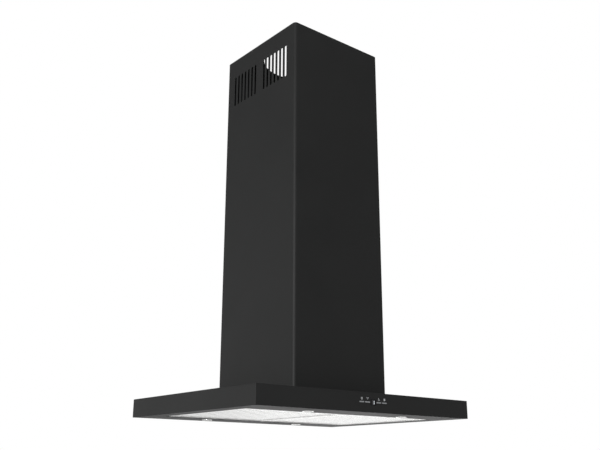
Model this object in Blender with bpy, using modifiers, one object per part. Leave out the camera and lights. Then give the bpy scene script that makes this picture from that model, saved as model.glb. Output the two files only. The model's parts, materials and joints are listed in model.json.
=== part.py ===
"""Island range hood: a flat canopy with filters, lamps and controls under a tall chimney cover.

The hood hangs from the ceiling. The origin is the centre of the ceiling plane that its bracket
bolts to, +Z points up, +X is to the right for someone who faces the controls, and the controls
face -Y. All sizes are in metres.
"""
from math import cos, pi, radians, sin

import bmesh
import bpy
from mathutils import Matrix, Vector

# ---- Driving dimensions -------------------------------------------------------------------

FIT = 0.0003                    # gap between pieces that touch
SHEET = 0.0010                  # sheet steel of the covers

CANOPY_WIDTH = 0.900            # along X
CANOPY_DEPTH = 0.700            # along Y
CANOPY_HEIGHT = 0.060
CANOPY_EDGE = 0.0015            # outer radius of the folded edges

CHIMNEY_WIDTH = 0.405           # along X
CHIMNEY_DEPTH = 0.417           # along Y
CHIMNEY_HEIGHT = 1.296
CHIMNEY_BEND = 0.012            # outer radius of the vertical bends
CEILING_GAP = 0.0005            # chimney cover to ceiling

SLOT_WIDTH = 0.0095             # vent slots in both side faces of the chimney
SLOT_LENGTH = 0.121
SLOT_TOP = 0.074                # top of the slots below the top of the cover
SLOT_PITCH = 0.0214
SLOT_FIRST = 0.0265             # first slot of a group from the middle of the face
SLOT_EDGE = 0.025               # least distance from a slot to the bend
SLOT_END = 0.498                # rounding of a slot's ends, as a share of its width

LIP = 0.018                     # return lips of the cover that carry the rear panel
LIP_OVERLAP = 0.016
REAR_SCREW_END = 0.260          # rear screws from each end of the cover
REAR_SCREW_RADIUS = 0.00175
REAR_SCREW_HEAD = 0.0036
REAR_SCREW_CROWN = 0.0020       # height of the head
REAR_SCREW_FLAT = 0.00216       # radius of its flat top
REAR_SCREW_RIM = 0.0008         # height of its straight rim

BRACKET_SHEET = 0.002
BRACKET_HEIGHT = 0.055
BRACKET_CLEARANCE = 0.0008      # bracket to the covers round it
DUCT_OPENING = 0.147            # radius of the bracket's opening
CEILING_HOLE = 0.004            # radius of the ceiling screw holes
CEILING_HOLE_INSET = 0.034      # holes from the bracket's edges

POST_LEG = 0.025                # angle posts of the frame
POST_SHEET = 0.002
POST_OVERLAP = 0.200            # how far upper and lower posts run side by side
POST_BOLT_RADIUS = 0.0025
POST_BOLT_HEAD = 0.00425
POST_BOLT_CROWN = 0.003
POST_BOLT_INSET = 0.015         # bolts from the posts' outer corner
UPPER_POST_LENGTH = 0.740
TIE_HEIGHT = 0.022
TIE_SHEET = 0.0015
TIE_BELOW_BRACKET = 0.300       # top of the cross tie below the bracket

SIDE_BORDER = 0.057             # bottom panel beside the opening for both filters
END_BORDER = 0.123              # and in front of it and behind it
RIM_ABOVE_FILTER = 0.001        # upturned edges of the bottom panel above the filters
CROSSBAR_WIDTH = 0.014

FILTER_HEIGHT = 0.012
FILTER_RECESS = 0.001           # filters above the lower face of the panel
FILTER_SIDE_GAP = 0.002
FILTER_END_GAP = 0.003
FILTER_WALL = 0.001
FILTER_RAIL = 0.014             # width of the side and rear rails
FILTER_FRONT_RAIL = 0.022       # width of the rail that holds the latch
PIVOT_INSET = 0.007             # hinge axis from the filter's rear edge
PIVOT_RADIUS = 0.002
PIVOT_REACH = 0.0045            # stub beyond the frame
PIVOT_ROOT = 0.003              # stub inside the frame

SLAT_PITCH = 0.036
SLAT_WIDTH = 0.026
UPPER_SLAT_WIDTH = 0.020
SLAT_SHEET = 0.0008
SLAT_CLEARANCE = 0.0004         # upper slats to the frame above them
SLAT_REAR_ROOM = 0.0028         # slats to the frame's rear wall
BAR_WIDTH = 0.008               # bars that join the slats' ends

LATCH_WIDTH = 0.036
LATCH_DEPTH = 0.010
LATCH_TRAVEL = 0.005
LATCH_TAB_WIDTH = 0.024
LATCH_TAB_DEPTH = 0.009
GROOVE_WIDTH = 0.0192           # finger groove in the latch's tab
GROOVE_DEPTH = 0.005
GROOVE_HEIGHT = 0.002
BOLT_WIDTH = 0.014
BOLT_HEIGHT = 0.0016
BOLT_REACH = 0.0022

LAMP_BEYOND_OPENING = 0.048     # lamp centres in front of the filters and behind them
LAMP_BEZEL = 0.018              # radii
LAMP_BARREL = 0.0145
LAMP_MOUTH = 0.0120
LAMP_WALL = 0.0015
LAMP_DROP = 0.0025              # bezel below the panel
LAMP_CHAMFER = 0.001
LAMP_HEIGHT = 0.018
LENS_THICKNESS = 0.002
LENS_SEAT = 0.0005              # lens seat above the panel's lower face

CONTROL_Z = 0.0308              # middle of the controls above the canopy's lower face
BUTTON_X = (-0.0485, -0.0240, 0.0240, 0.0485)
BUTTON_NAMES = ("power", "slower", "faster", "lamps")
BUTTON_WIDTH = 0.0190
BUTTON_HEIGHT = 0.0034
BUTTON_PROUD = 0.0009
BUTTON_TRAVEL = 0.0008
BUTTON_GAP = 0.00035            # button to the edge of its hole
BUTTON_CORNER = 0.0008
BUTTON_FLANGE = 0.0010
BUTTON_RIM = 0.0011             # flange beyond the button, behind the sheet
STEM_WIDTH = 0.004
STEM_HEIGHT = 0.0024
DISPLAY_WIDTH = 0.026
DISPLAY_HEIGHT = 0.0195
DISPLAY_DEPTH = 0.008
DISPLAY_FACE = 0.0010           # front plate of the display behind the sheet
DISPLAY_STEP = 0.001            # body of the display inside its front plate
HOUSING_WIDTH = 0.130
HOUSING_DEPTH = 0.028
HOUSING_WALL = 0.002
HOUSING_CLEARANCE = 0.0026      # housing above the bottom panel's flange
HOUSING_HEADROOM = 0.0024       # housing below the top of the canopy
BOARD_HEIGHT = 0.030
BOARD_SHEET = 0.0016
BOARD_SETBACK = 0.0125          # face of the circuit board behind the canopy's front face
SWITCH_DEPTH = 0.0036
SWITCH_SIZE = 0.006

BLOWER_HEIGHT = 0.270           # box over the canopy's opening
BLOWER_TO_POST_X = 0.0021       # box to the posts' legs
BLOWER_TO_POST_Y = 0.0068
BLOWER_FLANGE = 0.0015
FLANGE_TO_COVER = 0.004         # the box's foot to the chimney cover
FLANGE_TO_PANEL = 0.0047        # and to the rear panel
MOUTH_LEDGE = 0.015             # canopy's top inside the box
MOUTH_CORNER = 0.010

SCROLL_WIDTH = 0.156            # along X
SCROLL_WALL = 0.002
SCROLL_STEPS = 18               # flats round its curve
SCROLL_THROAT = 0.078           # half width of the outlet, along Y
SCROLL_START = 0.085            # radius at the cut-off
SCROLL_TO_BOX = 0.045           # radius where the outlet begins, less than half the box's depth
SCROLL_CUTOFF = radians(115)    # angle of the cut-off from +Y
SCROLL_AXIS_Z = 0.122           # blower axis above the box's foot
INLET_RADIUS = 0.062

IMPELLER_RADIUS = 0.070
IMPELLER_LENGTH = 0.110
BLADES = 20
BLADE_CHORD = 0.012
BLADE_INSET = 0.00504           # middle of a blade inside the impeller's edge
BLADE_SHEET = 0.0012
BLADE_ANGLE = radians(38)
WEB_SHEET = 0.002
RING_HEIGHT = 0.004
RING_DEPTH = 0.009
HUB_RADIUS = 0.009
HUB_LENGTH = 0.014
SHAFT_RADIUS = 0.004

MOTOR_RADIUS = 0.040
MOTOR_LENGTH = 0.082
MOTOR_BOSS = 0.012              # radius and height of the bearing bosses
MOTOR_BOSS_HEIGHT = 0.00328
MOTOR_SHOULDER = 0.036          # radius of the end caps, and where they meet boss and barrel
MOTOR_CAP_HEIGHT = 0.00492
MOTOR_EDGE = 0.01025
MOTOR_FACE = 0.004              # motor's inner face from the impeller's middle plane
SPIDER_RING = 0.075             # radii of the motor bracket
SPIDER_INNER = 0.066
SPIDER_SHEET = 0.004
SPIDER_HUB = 0.0045
SPIDER_ARM = 0.012
SPIDER_ARM_SHEET = 0.0032
SPIDER_LAP = 0.004              # arms into the ring

COLLAR_RADIUS = 0.075
COLLAR_WALL = 0.0015
COLLAR_HEIGHT = 0.060
COLLAR_FLANGE = 0.087
FLAP_GAP = 0.001
FLAP_SHEET = 0.0012
FLAP_HEIGHT = 0.030             # flap axle above the box
AXLE_RADIUS = 0.002
KNUCKLE_RADIUS = 0.004
KNUCKLE_WALL = 0.0016
KNUCKLE_LENGTH = 0.030
KNUCKLE_PITCH = 0.032
KNUCKLE_TAB = 0.024             # width of the tab that carries a knuckle
FLAP_EDGE = 0.005               # straight edge of a flap from the axle
TAB_SHEET = 0.00108
TAB_ROOT = 0.0032               # start of a tab from the axle

TERMINAL_SIZE = (0.070, 0.060, 0.036)
TERMINAL_INSET = (0.050, 0.053) # its centre from the side and front of the blower box
TERMINAL_WALL = 0.002
GLAND_HOLE = 0.0063             # radii
GLAND_BORE = 0.00378
GLAND_NUT = 0.009135
GLAND_LIP = 0.00685
GLAND_HEIGHT = 0.020
GLAND_CONE = 0.006              # rounded top of the nut
GLAND_CHAMFER = 0.001           # and its bevelled foot
GLAND_TAIL = 0.008              # threaded end inside the terminal box
DRIVER_SIZE = (0.090, 0.046, 0.026)
DRIVER_INSET = (0.065, 0.040)   # its centre from the other side and front of the box
DRIVER_CORNER = 0.003
CABLE_RADIUS = 0.003
CABLE_ABOVE_CONTROLS = 0.006
CABLE_HOLE = 0.006
CABLE_CHANNEL = 0.016           # cable from the wall of the blower box
CABLE_LEAD = 0.020              # straight run out of the control housing
CABLE_SWING = (-0.020, -0.050)  # last point of the level run, from its hole
CABLE_TURN = (-0.006, 0.010)    # where it turns up, from under the hole
CABLE_CLIMB = 0.060             # straight run above the hole
CABLE_TOP = 0.030               # straight run below the upper turn
CABLE_TOP_TURN = (0.004, -0.008)
CABLE_ENTRY = 0.010             # straight run into the terminal box
CABLE_SPACING = 0.015           # points along its route

# ---- Sizes worked out from them -----------------------------------------------------------

COVER_TOP = -CEILING_GAP
COVER_BOTTOM = COVER_TOP - CHIMNEY_HEIGHT
CANOPY_TOP = COVER_BOTTOM - FIT
CANOPY_BOTTOM = CANOPY_TOP - CANOPY_HEIGHT

SLOT_ROOM = CHIMNEY_DEPTH / 2 - CHIMNEY_BEND - SLOT_EDGE - SLOT_WIDTH / 2 - SLOT_FIRST
SLOTS_PER_GROUP = int(SLOT_ROOM / SLOT_PITCH) + 1

COVER_IN_X = CHIMNEY_WIDTH / 2 - SHEET
COVER_IN_Y = CHIMNEY_DEPTH / 2 - SHEET
REAR_PANEL_Y = COVER_IN_Y - FIT                 # outer face of the rear panel
BRACKET_X = COVER_IN_X - BRACKET_CLEARANCE      # half sizes of the bracket
BRACKET_Y = REAR_PANEL_Y - SHEET - BRACKET_CLEARANCE
BRACKET_BEND = CHIMNEY_BEND - SHEET
UPPER_POST_BEND = BRACKET_BEND - BRACKET_SHEET
LOWER_POST_BEND = UPPER_POST_BEND - POST_SHEET
UPPER_POST_X = BRACKET_X - BRACKET_SHEET - FIT
UPPER_POST_Y = BRACKET_Y - BRACKET_SHEET - FIT
LOWER_POST_X = UPPER_POST_X - POST_SHEET - FIT
LOWER_POST_Y = UPPER_POST_Y - POST_SHEET - FIT
UPPER_POST_TOP = -BRACKET_SHEET - FIT
UPPER_POST_BOTTOM = UPPER_POST_TOP - UPPER_POST_LENGTH
LOWER_POST_TOP = UPPER_POST_BOTTOM + POST_OVERLAP

BLOWER_X = LOWER_POST_X - POST_LEG - BLOWER_TO_POST_X    # half sizes of the box
BLOWER_Y = LOWER_POST_Y - POST_LEG - BLOWER_TO_POST_Y
FLANGE_X = COVER_IN_X - FLANGE_TO_COVER                  # and of its foot
FLANGE_Y = REAR_PANEL_Y - SHEET - FLANGE_TO_PANEL
BLOWER_FOOT = CANOPY_TOP + FIT
BLOWER_TOP = BLOWER_FOOT + BLOWER_HEIGHT
SCROLL_END = BLOWER_Y - SCROLL_TO_BOX
SCROLL_Y = SCROLL_THROAT - SCROLL_END
AXIS_Z = BLOWER_FOOT + SCROLL_AXIS_Z
COLLAR_FOOT = BLOWER_TOP + FIT
FLAP_Z = COLLAR_FOOT + FLAP_HEIGHT

TERMINAL_X = BLOWER_X - TERMINAL_INSET[0]
TERMINAL_Y = TERMINAL_INSET[1] - BLOWER_Y
DRIVER_X = DRIVER_INSET[0] - BLOWER_X
DRIVER_Y = DRIVER_INSET[1] - BLOWER_Y
CABLE_Y = -BLOWER_Y - CABLE_CHANNEL             # where the control cable passes up beside the box

PANEL_FLANGE = FILTER_RECESS + FILTER_HEIGHT + RIM_ABOVE_FILTER
OPENING_WIDTH = CANOPY_WIDTH - 2 * SIDE_BORDER
OPENING_DEPTH = CANOPY_DEPTH - 2 * END_BORDER
FILTER_WIDTH = (OPENING_WIDTH - CROSSBAR_WIDTH) / 2 - 2 * FILTER_SIDE_GAP
FILTER_DEPTH = OPENING_DEPTH - 2 * FILTER_END_GAP
FILTER_X = CROSSBAR_WIDTH / 2 + FILTER_SIDE_GAP + FILTER_WIDTH / 2
FILTER_Z = CANOPY_BOTTOM + FILTER_RECESS + FILTER_HEIGHT / 2
PIVOT_Y = FILTER_DEPTH / 2 - PIVOT_INSET
SLATS = int((FILTER_WIDTH - 2 * FILTER_RAIL - SLAT_WIDTH) / SLAT_PITCH) + 1
SLAT_HEIGHT = (FILTER_HEIGHT - 2 * FILTER_WALL - 2 * FIT - SLAT_CLEARANCE) / 2
LAMP_X = FILTER_X
LAMP_Y = OPENING_DEPTH / 2 + LAMP_BEYOND_OPENING

FRONT_Y = -CANOPY_DEPTH / 2
HOUSING_FRONT = FRONT_Y + SHEET + FIT
HOUSING_HEIGHT = CANOPY_HEIGHT - SHEET - HOUSING_HEADROOM - PANEL_FLANGE - HOUSING_CLEARANCE
HOUSING_Z = CANOPY_BOTTOM + PANEL_FLANGE + HOUSING_CLEARANCE + HOUSING_HEIGHT / 2
CONTROLS_Z = CANOPY_BOTTOM + CONTROL_Z
CABLE_Z = CONTROLS_Z + CABLE_ABOVE_CONTROLS

# ---- Scene and helpers --------------------------------------------------------------------

for old in list(bpy.data.objects):
    bpy.data.objects.remove(old, do_unlink=True)

PARTS = bpy.data.collections.new("island_range_hood")
CUTTERS = bpy.data.collections.new("cutters")
for group in (PARTS, CUTTERS):
    bpy.context.scene.collection.children.link(group)


def finish(name, colour, roughness, metallic):
    """A Principled material of one colour."""
    made = bpy.data.materials.new(name)
    made.use_nodes = True
    shader = made.node_tree.nodes["Principled BSDF"]
    shader.inputs["Base Color"].default_value = (*colour, 1.0)
    shader.inputs["Roughness"].default_value = roughness
    shader.inputs["Metallic"].default_value = metallic
    return made


BLACK_PAINT = ("black_paint", (0.022, 0.022, 0.023), 0.45, 0.0)
STAINLESS = ("stainless_steel", (0.62, 0.62, 0.61), 0.28, 1.0)
ZINC_STEEL = ("zinc_steel", (0.50, 0.51, 0.52), 0.42, 1.0)
BRIGHT_METAL = ("bright_metal", (0.70, 0.70, 0.69), 0.20, 1.0)
DARK_PLASTIC = ("dark_plastic", (0.030, 0.030, 0.032), 0.50, 0.0)
GREY_PLASTIC = ("grey_plastic", (0.32, 0.33, 0.34), 0.55, 0.0)
PALE_MARK = ("pale_button", (0.70, 0.72, 0.74), 0.35, 0.0)
LENS = ("frosted_lens", (0.90, 0.90, 0.86), 0.30, 0.0)
GLOSS_BLACK = ("display_black", (0.010, 0.010, 0.012), 0.08, 0.0)
BOARD_GREEN = ("board_green", (0.03, 0.17, 0.08), 0.50, 0.0)


def place(name, mesh, location, look=None, parent=None):
    """An object for a part, or for a cutter when it has no look."""
    made = bpy.data.objects.new(name, mesh)
    made.location = location
    made.parent = parent
    if look is None:
        CUTTERS.objects.link(made)
        made.hide_render = True
        made.display_type = "WIRE"
    else:
        PARTS.objects.link(made)
        mesh.materials.append(bpy.data.materials.get(look[0]) or finish(*look))
    return made


def empty(name, location):
    """A parent whose origin lies on a joint's axis."""
    made = bpy.data.objects.new(name, None)
    made.location = location
    made.empty_display_size = 0.03
    PARTS.objects.link(made)
    return made


def mesh_of(name, bm):
    """The mesh of finished bmesh geometry."""
    bmesh.ops.recalc_face_normals(bm, faces=bm.faces)
    made = bpy.data.meshes.new(name)
    bm.to_mesh(made)
    bm.free()
    return made


def add_box(bm, size, centre=(0, 0, 0), along=None, radius=0.0, segments=4, turn=None):
    """A box in bm; along names the axis whose parallel edges are rounded."""
    verts = bmesh.ops.create_cube(bm, size=1.0)["verts"]
    bmesh.ops.scale(bm, vec=size, verts=verts)
    if along is not None:
        axis = "XYZ".index(along)
        edges = {edge for vert in verts for edge in vert.link_edges}
        sides = [edge for edge in edges if abs((edge.verts[0].co - edge.verts[1].co)[axis]) > 1e-6]
        rounded = bmesh.ops.bevel(bm, geom=sides, offset=radius, segments=segments, profile=0.5,
                                  affect="EDGES")
        verts = list({vert for face in rounded["faces"] for vert in face.verts})
    if turn is not None:
        bmesh.ops.rotate(bm, cent=(0, 0, 0), matrix=turn, verts=verts)
    bmesh.ops.translate(bm, vec=centre, verts=verts)


def add_rod(bm, radius, length, centre=(0, 0, 0), along="Z", sides=24):
    """A cylinder in bm along one axis."""
    verts = bmesh.ops.create_cone(bm, cap_ends=True, segments=sides, radius1=radius,
                                  radius2=radius, depth=length)["verts"]
    if along == "X":
        bmesh.ops.rotate(bm, cent=(0, 0, 0), matrix=Matrix.Rotation(pi / 2, 3, "Y"), verts=verts)
    if along == "Y":
        bmesh.ops.rotate(bm, cent=(0, 0, 0), matrix=Matrix.Rotation(pi / 2, 3, "X"), verts=verts)
    bmesh.ops.translate(bm, vec=centre, verts=verts)


def block(name, size, location, look=None, parent=None, along=None, radius=0.0, segments=4):
    """A solid box, rounded along one axis if wanted."""
    bm = bmesh.new()
    add_box(bm, size, along=along, radius=radius, segments=segments)
    return place(name, mesh_of(name, bm), location, look, parent)


def rod(name, radius, length, location, look=None, parent=None, along="Z", sides=24):
    """A solid cylinder."""
    bm = bmesh.new()
    add_rod(bm, radius, length, along=along, sides=sides)
    made = place(name, mesh_of(name, bm), location, look, parent)
    made.data.shade_smooth()
    made.data.set_sharp_from_angle(angle=radians(35))
    return made


def folded(name, size, sheet, missing, location, look, parent=None, bends="Z", radius=0.0,
           segments=4):
    """A folded sheet box. missing lists its open sides, such as "-Z"; the sheet grows inwards.

    bends is the axis of the rounded folds, or "ALL" for every fold.
    """
    bm = bmesh.new()
    add_box(bm, size)
    gone = []
    for face in bm.faces:
        axis = max(range(3), key=lambda i: abs(face.normal[i]))
        side = ("-" if face.normal[axis] < 0 else "+") + "XYZ"[axis]
        if side in missing:
            gone.append(face)
    bmesh.ops.delete(bm, geom=gone, context="FACES")
    folds = []
    for edge in bm.edges:
        step = edge.verts[0].co - edge.verts[1].co
        runs = "XYZ"[max(range(3), key=lambda i: abs(step[i]))]
        if edge.is_manifold and bends in (runs, "ALL"):
            folds.append(edge)
    if radius > 0:
        bmesh.ops.bevel(bm, geom=folds, offset=radius, segments=segments, profile=0.5,
                        affect="EDGES")
    mesh = bpy.data.meshes.new(name)
    bm.to_mesh(mesh)
    bm.free()
    made = place(name, mesh, location, look, parent)
    wall = made.modifiers.new("sheet", "SOLIDIFY")
    wall.thickness = sheet
    wall.offset = -1.0
    wall.use_even_offset = True
    return made


def turned(name, profile, location, look, parent=None, steps=24, closed=False, along="Z"):
    """A turned piece: profile lists (radius, height), running down its outer side."""
    mesh = bpy.data.meshes.new(name)
    count = len(profile)
    edges = [(i, i + 1) for i in range(count - 1)]
    if closed:
        edges.append((count - 1, 0))
    mesh.from_pydata([(radius, 0.0, height) for radius, height in profile], edges, [])
    made = place(name, mesh, location, look, parent)
    if along == "X":
        made.rotation_euler = (0, pi / 2, 0)
    screw = made.modifiers.new("turn", "SCREW")
    screw.steps = steps
    screw.render_steps = steps
    screw.use_merge_vertices = True
    screw.merge_threshold = 0.00005
    screw.use_smooth_shade = False
    return made


def combine(target, other, operation, name):
    """A Boolean of another object on target."""
    step = target.modifiers.new(name, "BOOLEAN")
    step.operation = operation
    step.solver = "EXACT"
    step.object = other


def cut(target, cutter):
    combine(target, cutter, "DIFFERENCE", "cut_" + cutter.name)


def weld(target, addition):
    """Joins a piece from the cutters' collection to target."""
    combine(target, addition, "UNION", "weld_" + addition.name)


def cutter(name, build, location=(0, 0, 0), parent=None):
    """A cutter whose geometry build(bm) adds; its solids don't touch each other."""
    bm = bmesh.new()
    build(bm)
    return place(name, mesh_of(name, bm), location, parent=parent)


# ---- Chimney ------------------------------------------------------------------------------

def slot_positions():
    """Slot centres along Y, both groups."""
    offsets = [SLOT_FIRST + SLOT_PITCH * i for i in range(SLOTS_PER_GROUP)]
    return [-y for y in reversed(offsets)] + offsets


def rear_screw_places():
    """(x, z) of the rear panel's screws, in the middle of the lips."""
    x = CHIMNEY_WIDTH / 2 - CHIMNEY_BEND - LIP / 2
    heights = (COVER_TOP - REAR_SCREW_END, COVER_BOTTOM + REAR_SCREW_END)
    return [(side * x, z) for side in (-1, 1) for z in heights]


def build_chimney():
    middle = (COVER_TOP + COVER_BOTTOM) / 2
    cover = folded("chimney_cover", (CHIMNEY_WIDTH, CHIMNEY_DEPTH, CHIMNEY_HEIGHT), SHEET,
                   ("-Z", "+Z"), (0, 0, middle), BLACK_PAINT, radius=CHIMNEY_BEND, segments=5)
    gap_width = CHIMNEY_WIDTH - 2 * (CHIMNEY_BEND + LIP)
    rear_gap = block("rear_gap", (gap_width, 4 * SHEET, CHIMNEY_HEIGHT + 4 * SHEET),
                     (0, CHIMNEY_DEPTH / 2, middle))
    cut(cover, rear_gap)

    def slots(bm):
        for side in (-1, 1):
            for y in slot_positions():
                add_box(bm, (6 * SHEET, SLOT_WIDTH, SLOT_LENGTH), (side * CHIMNEY_WIDTH / 2, y, 0),
                        along="X", radius=SLOT_WIDTH * SLOT_END, segments=3)

    cut(cover, cutter("vent_slots", slots, (0, 0, COVER_TOP - SLOT_TOP - SLOT_LENGTH / 2)))

    def screw_holes(bm):
        for x, z in rear_screw_places():
            add_rod(bm, REAR_SCREW_RADIUS + FIT, 8 * SHEET, (x, CHIMNEY_DEPTH / 2, z), "Y", 12)

    holes = cutter("rear_screw_holes", screw_holes)
    cut(cover, holes)
    panel_width = gap_width + 2 * LIP_OVERLAP
    panel = block("chimney_rear_panel", (panel_width, SHEET, CHIMNEY_HEIGHT),
                  (0, REAR_PANEL_Y - SHEET / 2, middle), BLACK_PAINT)
    cut(panel, holes)
    for index, (x, z) in enumerate(rear_screw_places()):
        reach = 2 * SHEET + 3 * FIT
        profile = [(0, REAR_SCREW_CROWN), (REAR_SCREW_FLAT, REAR_SCREW_CROWN),
                   (REAR_SCREW_HEAD, REAR_SCREW_RIM), (REAR_SCREW_HEAD, 0),
                   (REAR_SCREW_RADIUS, 0), (REAR_SCREW_RADIUS, -reach), (0, -reach)]
        screw = turned("rear_panel_screw_%d" % (index + 1), profile,
                       (x, CHIMNEY_DEPTH / 2 + FIT, z), BRIGHT_METAL, steps=12)
        screw.rotation_euler = (-pi / 2, 0, 0)


# ---- Ceiling bracket and frame ------------------------------------------------------------

def build_bracket():
    bracket = folded("ceiling_bracket", (2 * BRACKET_X, 2 * BRACKET_Y, BRACKET_HEIGHT),
                     BRACKET_SHEET, ("-Z",), (0, 0, -BRACKET_HEIGHT / 2), BLACK_PAINT,
                     radius=BRACKET_BEND, segments=4)

    def holes(bm):
        add_rod(bm, DUCT_OPENING, 6 * BRACKET_SHEET, sides=36)
        for x in (-1, 1):
            for y in (-1, 1):
                centre = (x * (BRACKET_X - CEILING_HOLE_INSET), y * (BRACKET_Y - CEILING_HOLE_INSET), 0)
                add_rod(bm, CEILING_HOLE, 6 * BRACKET_SHEET, centre, sides=12)

    cut(bracket, cutter("bracket_holes", holes))


def post(name, side_x, side_y, corner_x, corner_y, top, bottom, bend):
    """An angle post whose outer corner is at (corner_x, corner_y) on the given sides."""
    missing = ("-Z", "+Z", "-X" if side_x > 0 else "+X", "-Y" if side_y > 0 else "+Y")
    centre = (side_x * (corner_x - POST_LEG / 2), side_y * (corner_y - POST_LEG / 2), (top + bottom) / 2)
    return folded(name, (POST_LEG, POST_LEG, top - bottom), POST_SHEET, missing, centre,
                  ZINC_STEEL, radius=bend, segments=4)


def build_frame():
    foot = BLOWER_FOOT + BLOWER_FLANGE + FIT
    overlap_middle = (LOWER_POST_TOP + UPPER_POST_BOTTOM) / 2
    bolt_y = LOWER_POST_Y - POST_BOLT_INSET
    corners = [(x, y) for y in (-1, 1) for x in (-1, 1)]
    words = ("front_left", "front_right", "rear_left", "rear_right")

    def bolt_holes(bm):
        for x, y in corners:
            add_rod(bm, POST_BOLT_RADIUS + FIT, 8 * POST_SHEET,
                    (x * LOWER_POST_X, y * bolt_y, overlap_middle), "X", 12)

    holes = cutter("post_bolt_holes", bolt_holes)
    for (x, y), word in zip(corners, words):
        cut(post("upper_post_" + word, x, y, UPPER_POST_X, UPPER_POST_Y, UPPER_POST_TOP,
                 UPPER_POST_BOTTOM, UPPER_POST_BEND), holes)
        cut(post("lower_post_" + word, x, y, LOWER_POST_X, LOWER_POST_Y, LOWER_POST_TOP, foot,
                 LOWER_POST_BEND), holes)
        reach = 2 * POST_SHEET + 2 * FIT
        profile = [(0, POST_BOLT_CROWN), (POST_BOLT_HEAD, POST_BOLT_CROWN), (POST_BOLT_HEAD, 0),
                   (POST_BOLT_RADIUS, 0), (POST_BOLT_RADIUS, -reach), (0, -reach)]
        bolt = turned("post_bolt_" + word, profile,
                      (x * (LOWER_POST_X - POST_SHEET - FIT), y * bolt_y, overlap_middle),
                      ZINC_STEEL, steps=12)
        bolt.rotation_euler = (0, -x * pi / 2, 0)
    tie_top = -BRACKET_HEIGHT - TIE_BELOW_BRACKET
    folded("frame_tie", (2 * LOWER_POST_X, 2 * LOWER_POST_Y, TIE_HEIGHT), TIE_SHEET,
           ("-Z", "+Z"), (0, 0, tie_top - TIE_HEIGHT / 2), ZINC_STEEL,
           radius=LOWER_POST_BEND, segments=4)


# ---- Canopy -------------------------------------------------------------------------------

def build_canopy():
    middle = (CANOPY_TOP + CANOPY_BOTTOM) / 2
    shell = folded("canopy_shell", (CANOPY_WIDTH, CANOPY_DEPTH, CANOPY_HEIGHT), SHEET, ("-Z",),
                   (0, 0, middle), BLACK_PAINT, bends="ALL", radius=CANOPY_EDGE, segments=2)

    def top_holes(bm):
        mouth = (2 * (BLOWER_X - MOUTH_LEDGE), 2 * (BLOWER_Y - MOUTH_LEDGE), 8 * SHEET)
        add_box(bm, mouth, along="Z", radius=MOUTH_CORNER, segments=3)
        add_rod(bm, CABLE_HOLE, 8 * SHEET, (TERMINAL_X, CABLE_Y, 0), sides=12)

    cut(shell, cutter("canopy_top_holes", top_holes, (0, 0, CANOPY_TOP)))

    def front_holes(bm):
        for x in BUTTON_X:
            add_box(bm, (BUTTON_WIDTH + 2 * BUTTON_GAP, 8 * SHEET, BUTTON_HEIGHT + 2 * BUTTON_GAP),
                    (x, 0, 0))
        add_box(bm, (DISPLAY_WIDTH + 2 * FIT, 8 * SHEET, DISPLAY_HEIGHT + 2 * FIT))

    cut(shell, cutter("control_holes", front_holes, (0, FRONT_Y, CONTROLS_Z)))

    inset = SHEET + FIT
    panel = folded("bottom_panel",
                   (CANOPY_WIDTH - 2 * inset, CANOPY_DEPTH - 2 * inset, PANEL_FLANGE), SHEET,
                   ("+Z",), (0, 0, CANOPY_BOTTOM + PANEL_FLANGE / 2), BLACK_PAINT)
    rim_size = (OPENING_WIDTH + 2 * SHEET, OPENING_DEPTH + 2 * SHEET, PANEL_FLANGE - SHEET)
    rim = block("filter_rim", rim_size,
                (0, 0, CANOPY_BOTTOM + SHEET / 2 + rim_size[2] / 2))
    weld(panel, rim)
    cut(panel, block("filter_opening", (OPENING_WIDTH, OPENING_DEPTH, 3 * PANEL_FLANGE),
                     (0, 0, CANOPY_BOTTOM)))

    def panel_holes(bm):
        for x in (-LAMP_X, LAMP_X):
            for y in (-LAMP_Y, LAMP_Y):
                add_rod(bm, LAMP_BARREL + FIT, 6 * SHEET, (x, y, CANOPY_BOTTOM), sides=24)
        for x in (-1, 1):
            add_rod(bm, PIVOT_RADIUS + FIT, 6 * SHEET, (x * OPENING_WIDTH / 2, PIVOT_Y, FILTER_Z),
                    "X", 12)

    cut(panel, cutter("panel_holes", panel_holes))

    bar_length = OPENING_DEPTH - 2 * FIT
    bar = folded("filter_crossbar", (CROSSBAR_WIDTH, bar_length, PANEL_FLANGE - FIT), SHEET,
                 ("+Z", "-Y", "+Y"), (0, 0, CANOPY_BOTTOM + (PANEL_FLANGE - FIT) / 2), STAINLESS)

    def bar_holes(bm):
        add_rod(bm, PIVOT_RADIUS + FIT, 2 * CROSSBAR_WIDTH, (0, PIVOT_Y, FILTER_Z), "X", 12)

    cut(bar, cutter("crossbar_holes", bar_holes))


# ---- Filters ------------------------------------------------------------------------------

def slat_rack(name, count, width, legs_up, ends, location, parent):
    """Parallel channels joined by a bar at each end; ends are their (low, high) along Y."""
    low, high = ends
    length = high - low
    middle = (low + high) / 2
    across = SLAT_PITCH * (count - 1) + width
    centres = [(i - (count - 1) / 2) * SLAT_PITCH for i in range(count)]

    def outline(bm):
        add_box(bm, (across, length, SLAT_HEIGHT), (0, middle, 0))

    def hollows(bm):
        shift = SLAT_SHEET if legs_up else -SLAT_SHEET
        for x in centres:
            add_box(bm, (width - 2 * SLAT_SHEET, length + 2 * BAR_WIDTH, SLAT_HEIGHT),
                    (x, middle, shift))

    def gaps(bm):
        for x in centres[:-1]:
            add_box(bm, (SLAT_PITCH - width, length - 2 * BAR_WIDTH, 3 * SLAT_HEIGHT),
                    (x + SLAT_PITCH / 2, middle, 0))

    bm = bmesh.new()
    outline(bm)
    rack = place(name, mesh_of(name, bm), location, STAINLESS, parent)
    cut(rack, cutter(name + "_hollows", hollows, location, parent))
    cut(rack, cutter(name + "_gaps", gaps, location, parent))


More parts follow.
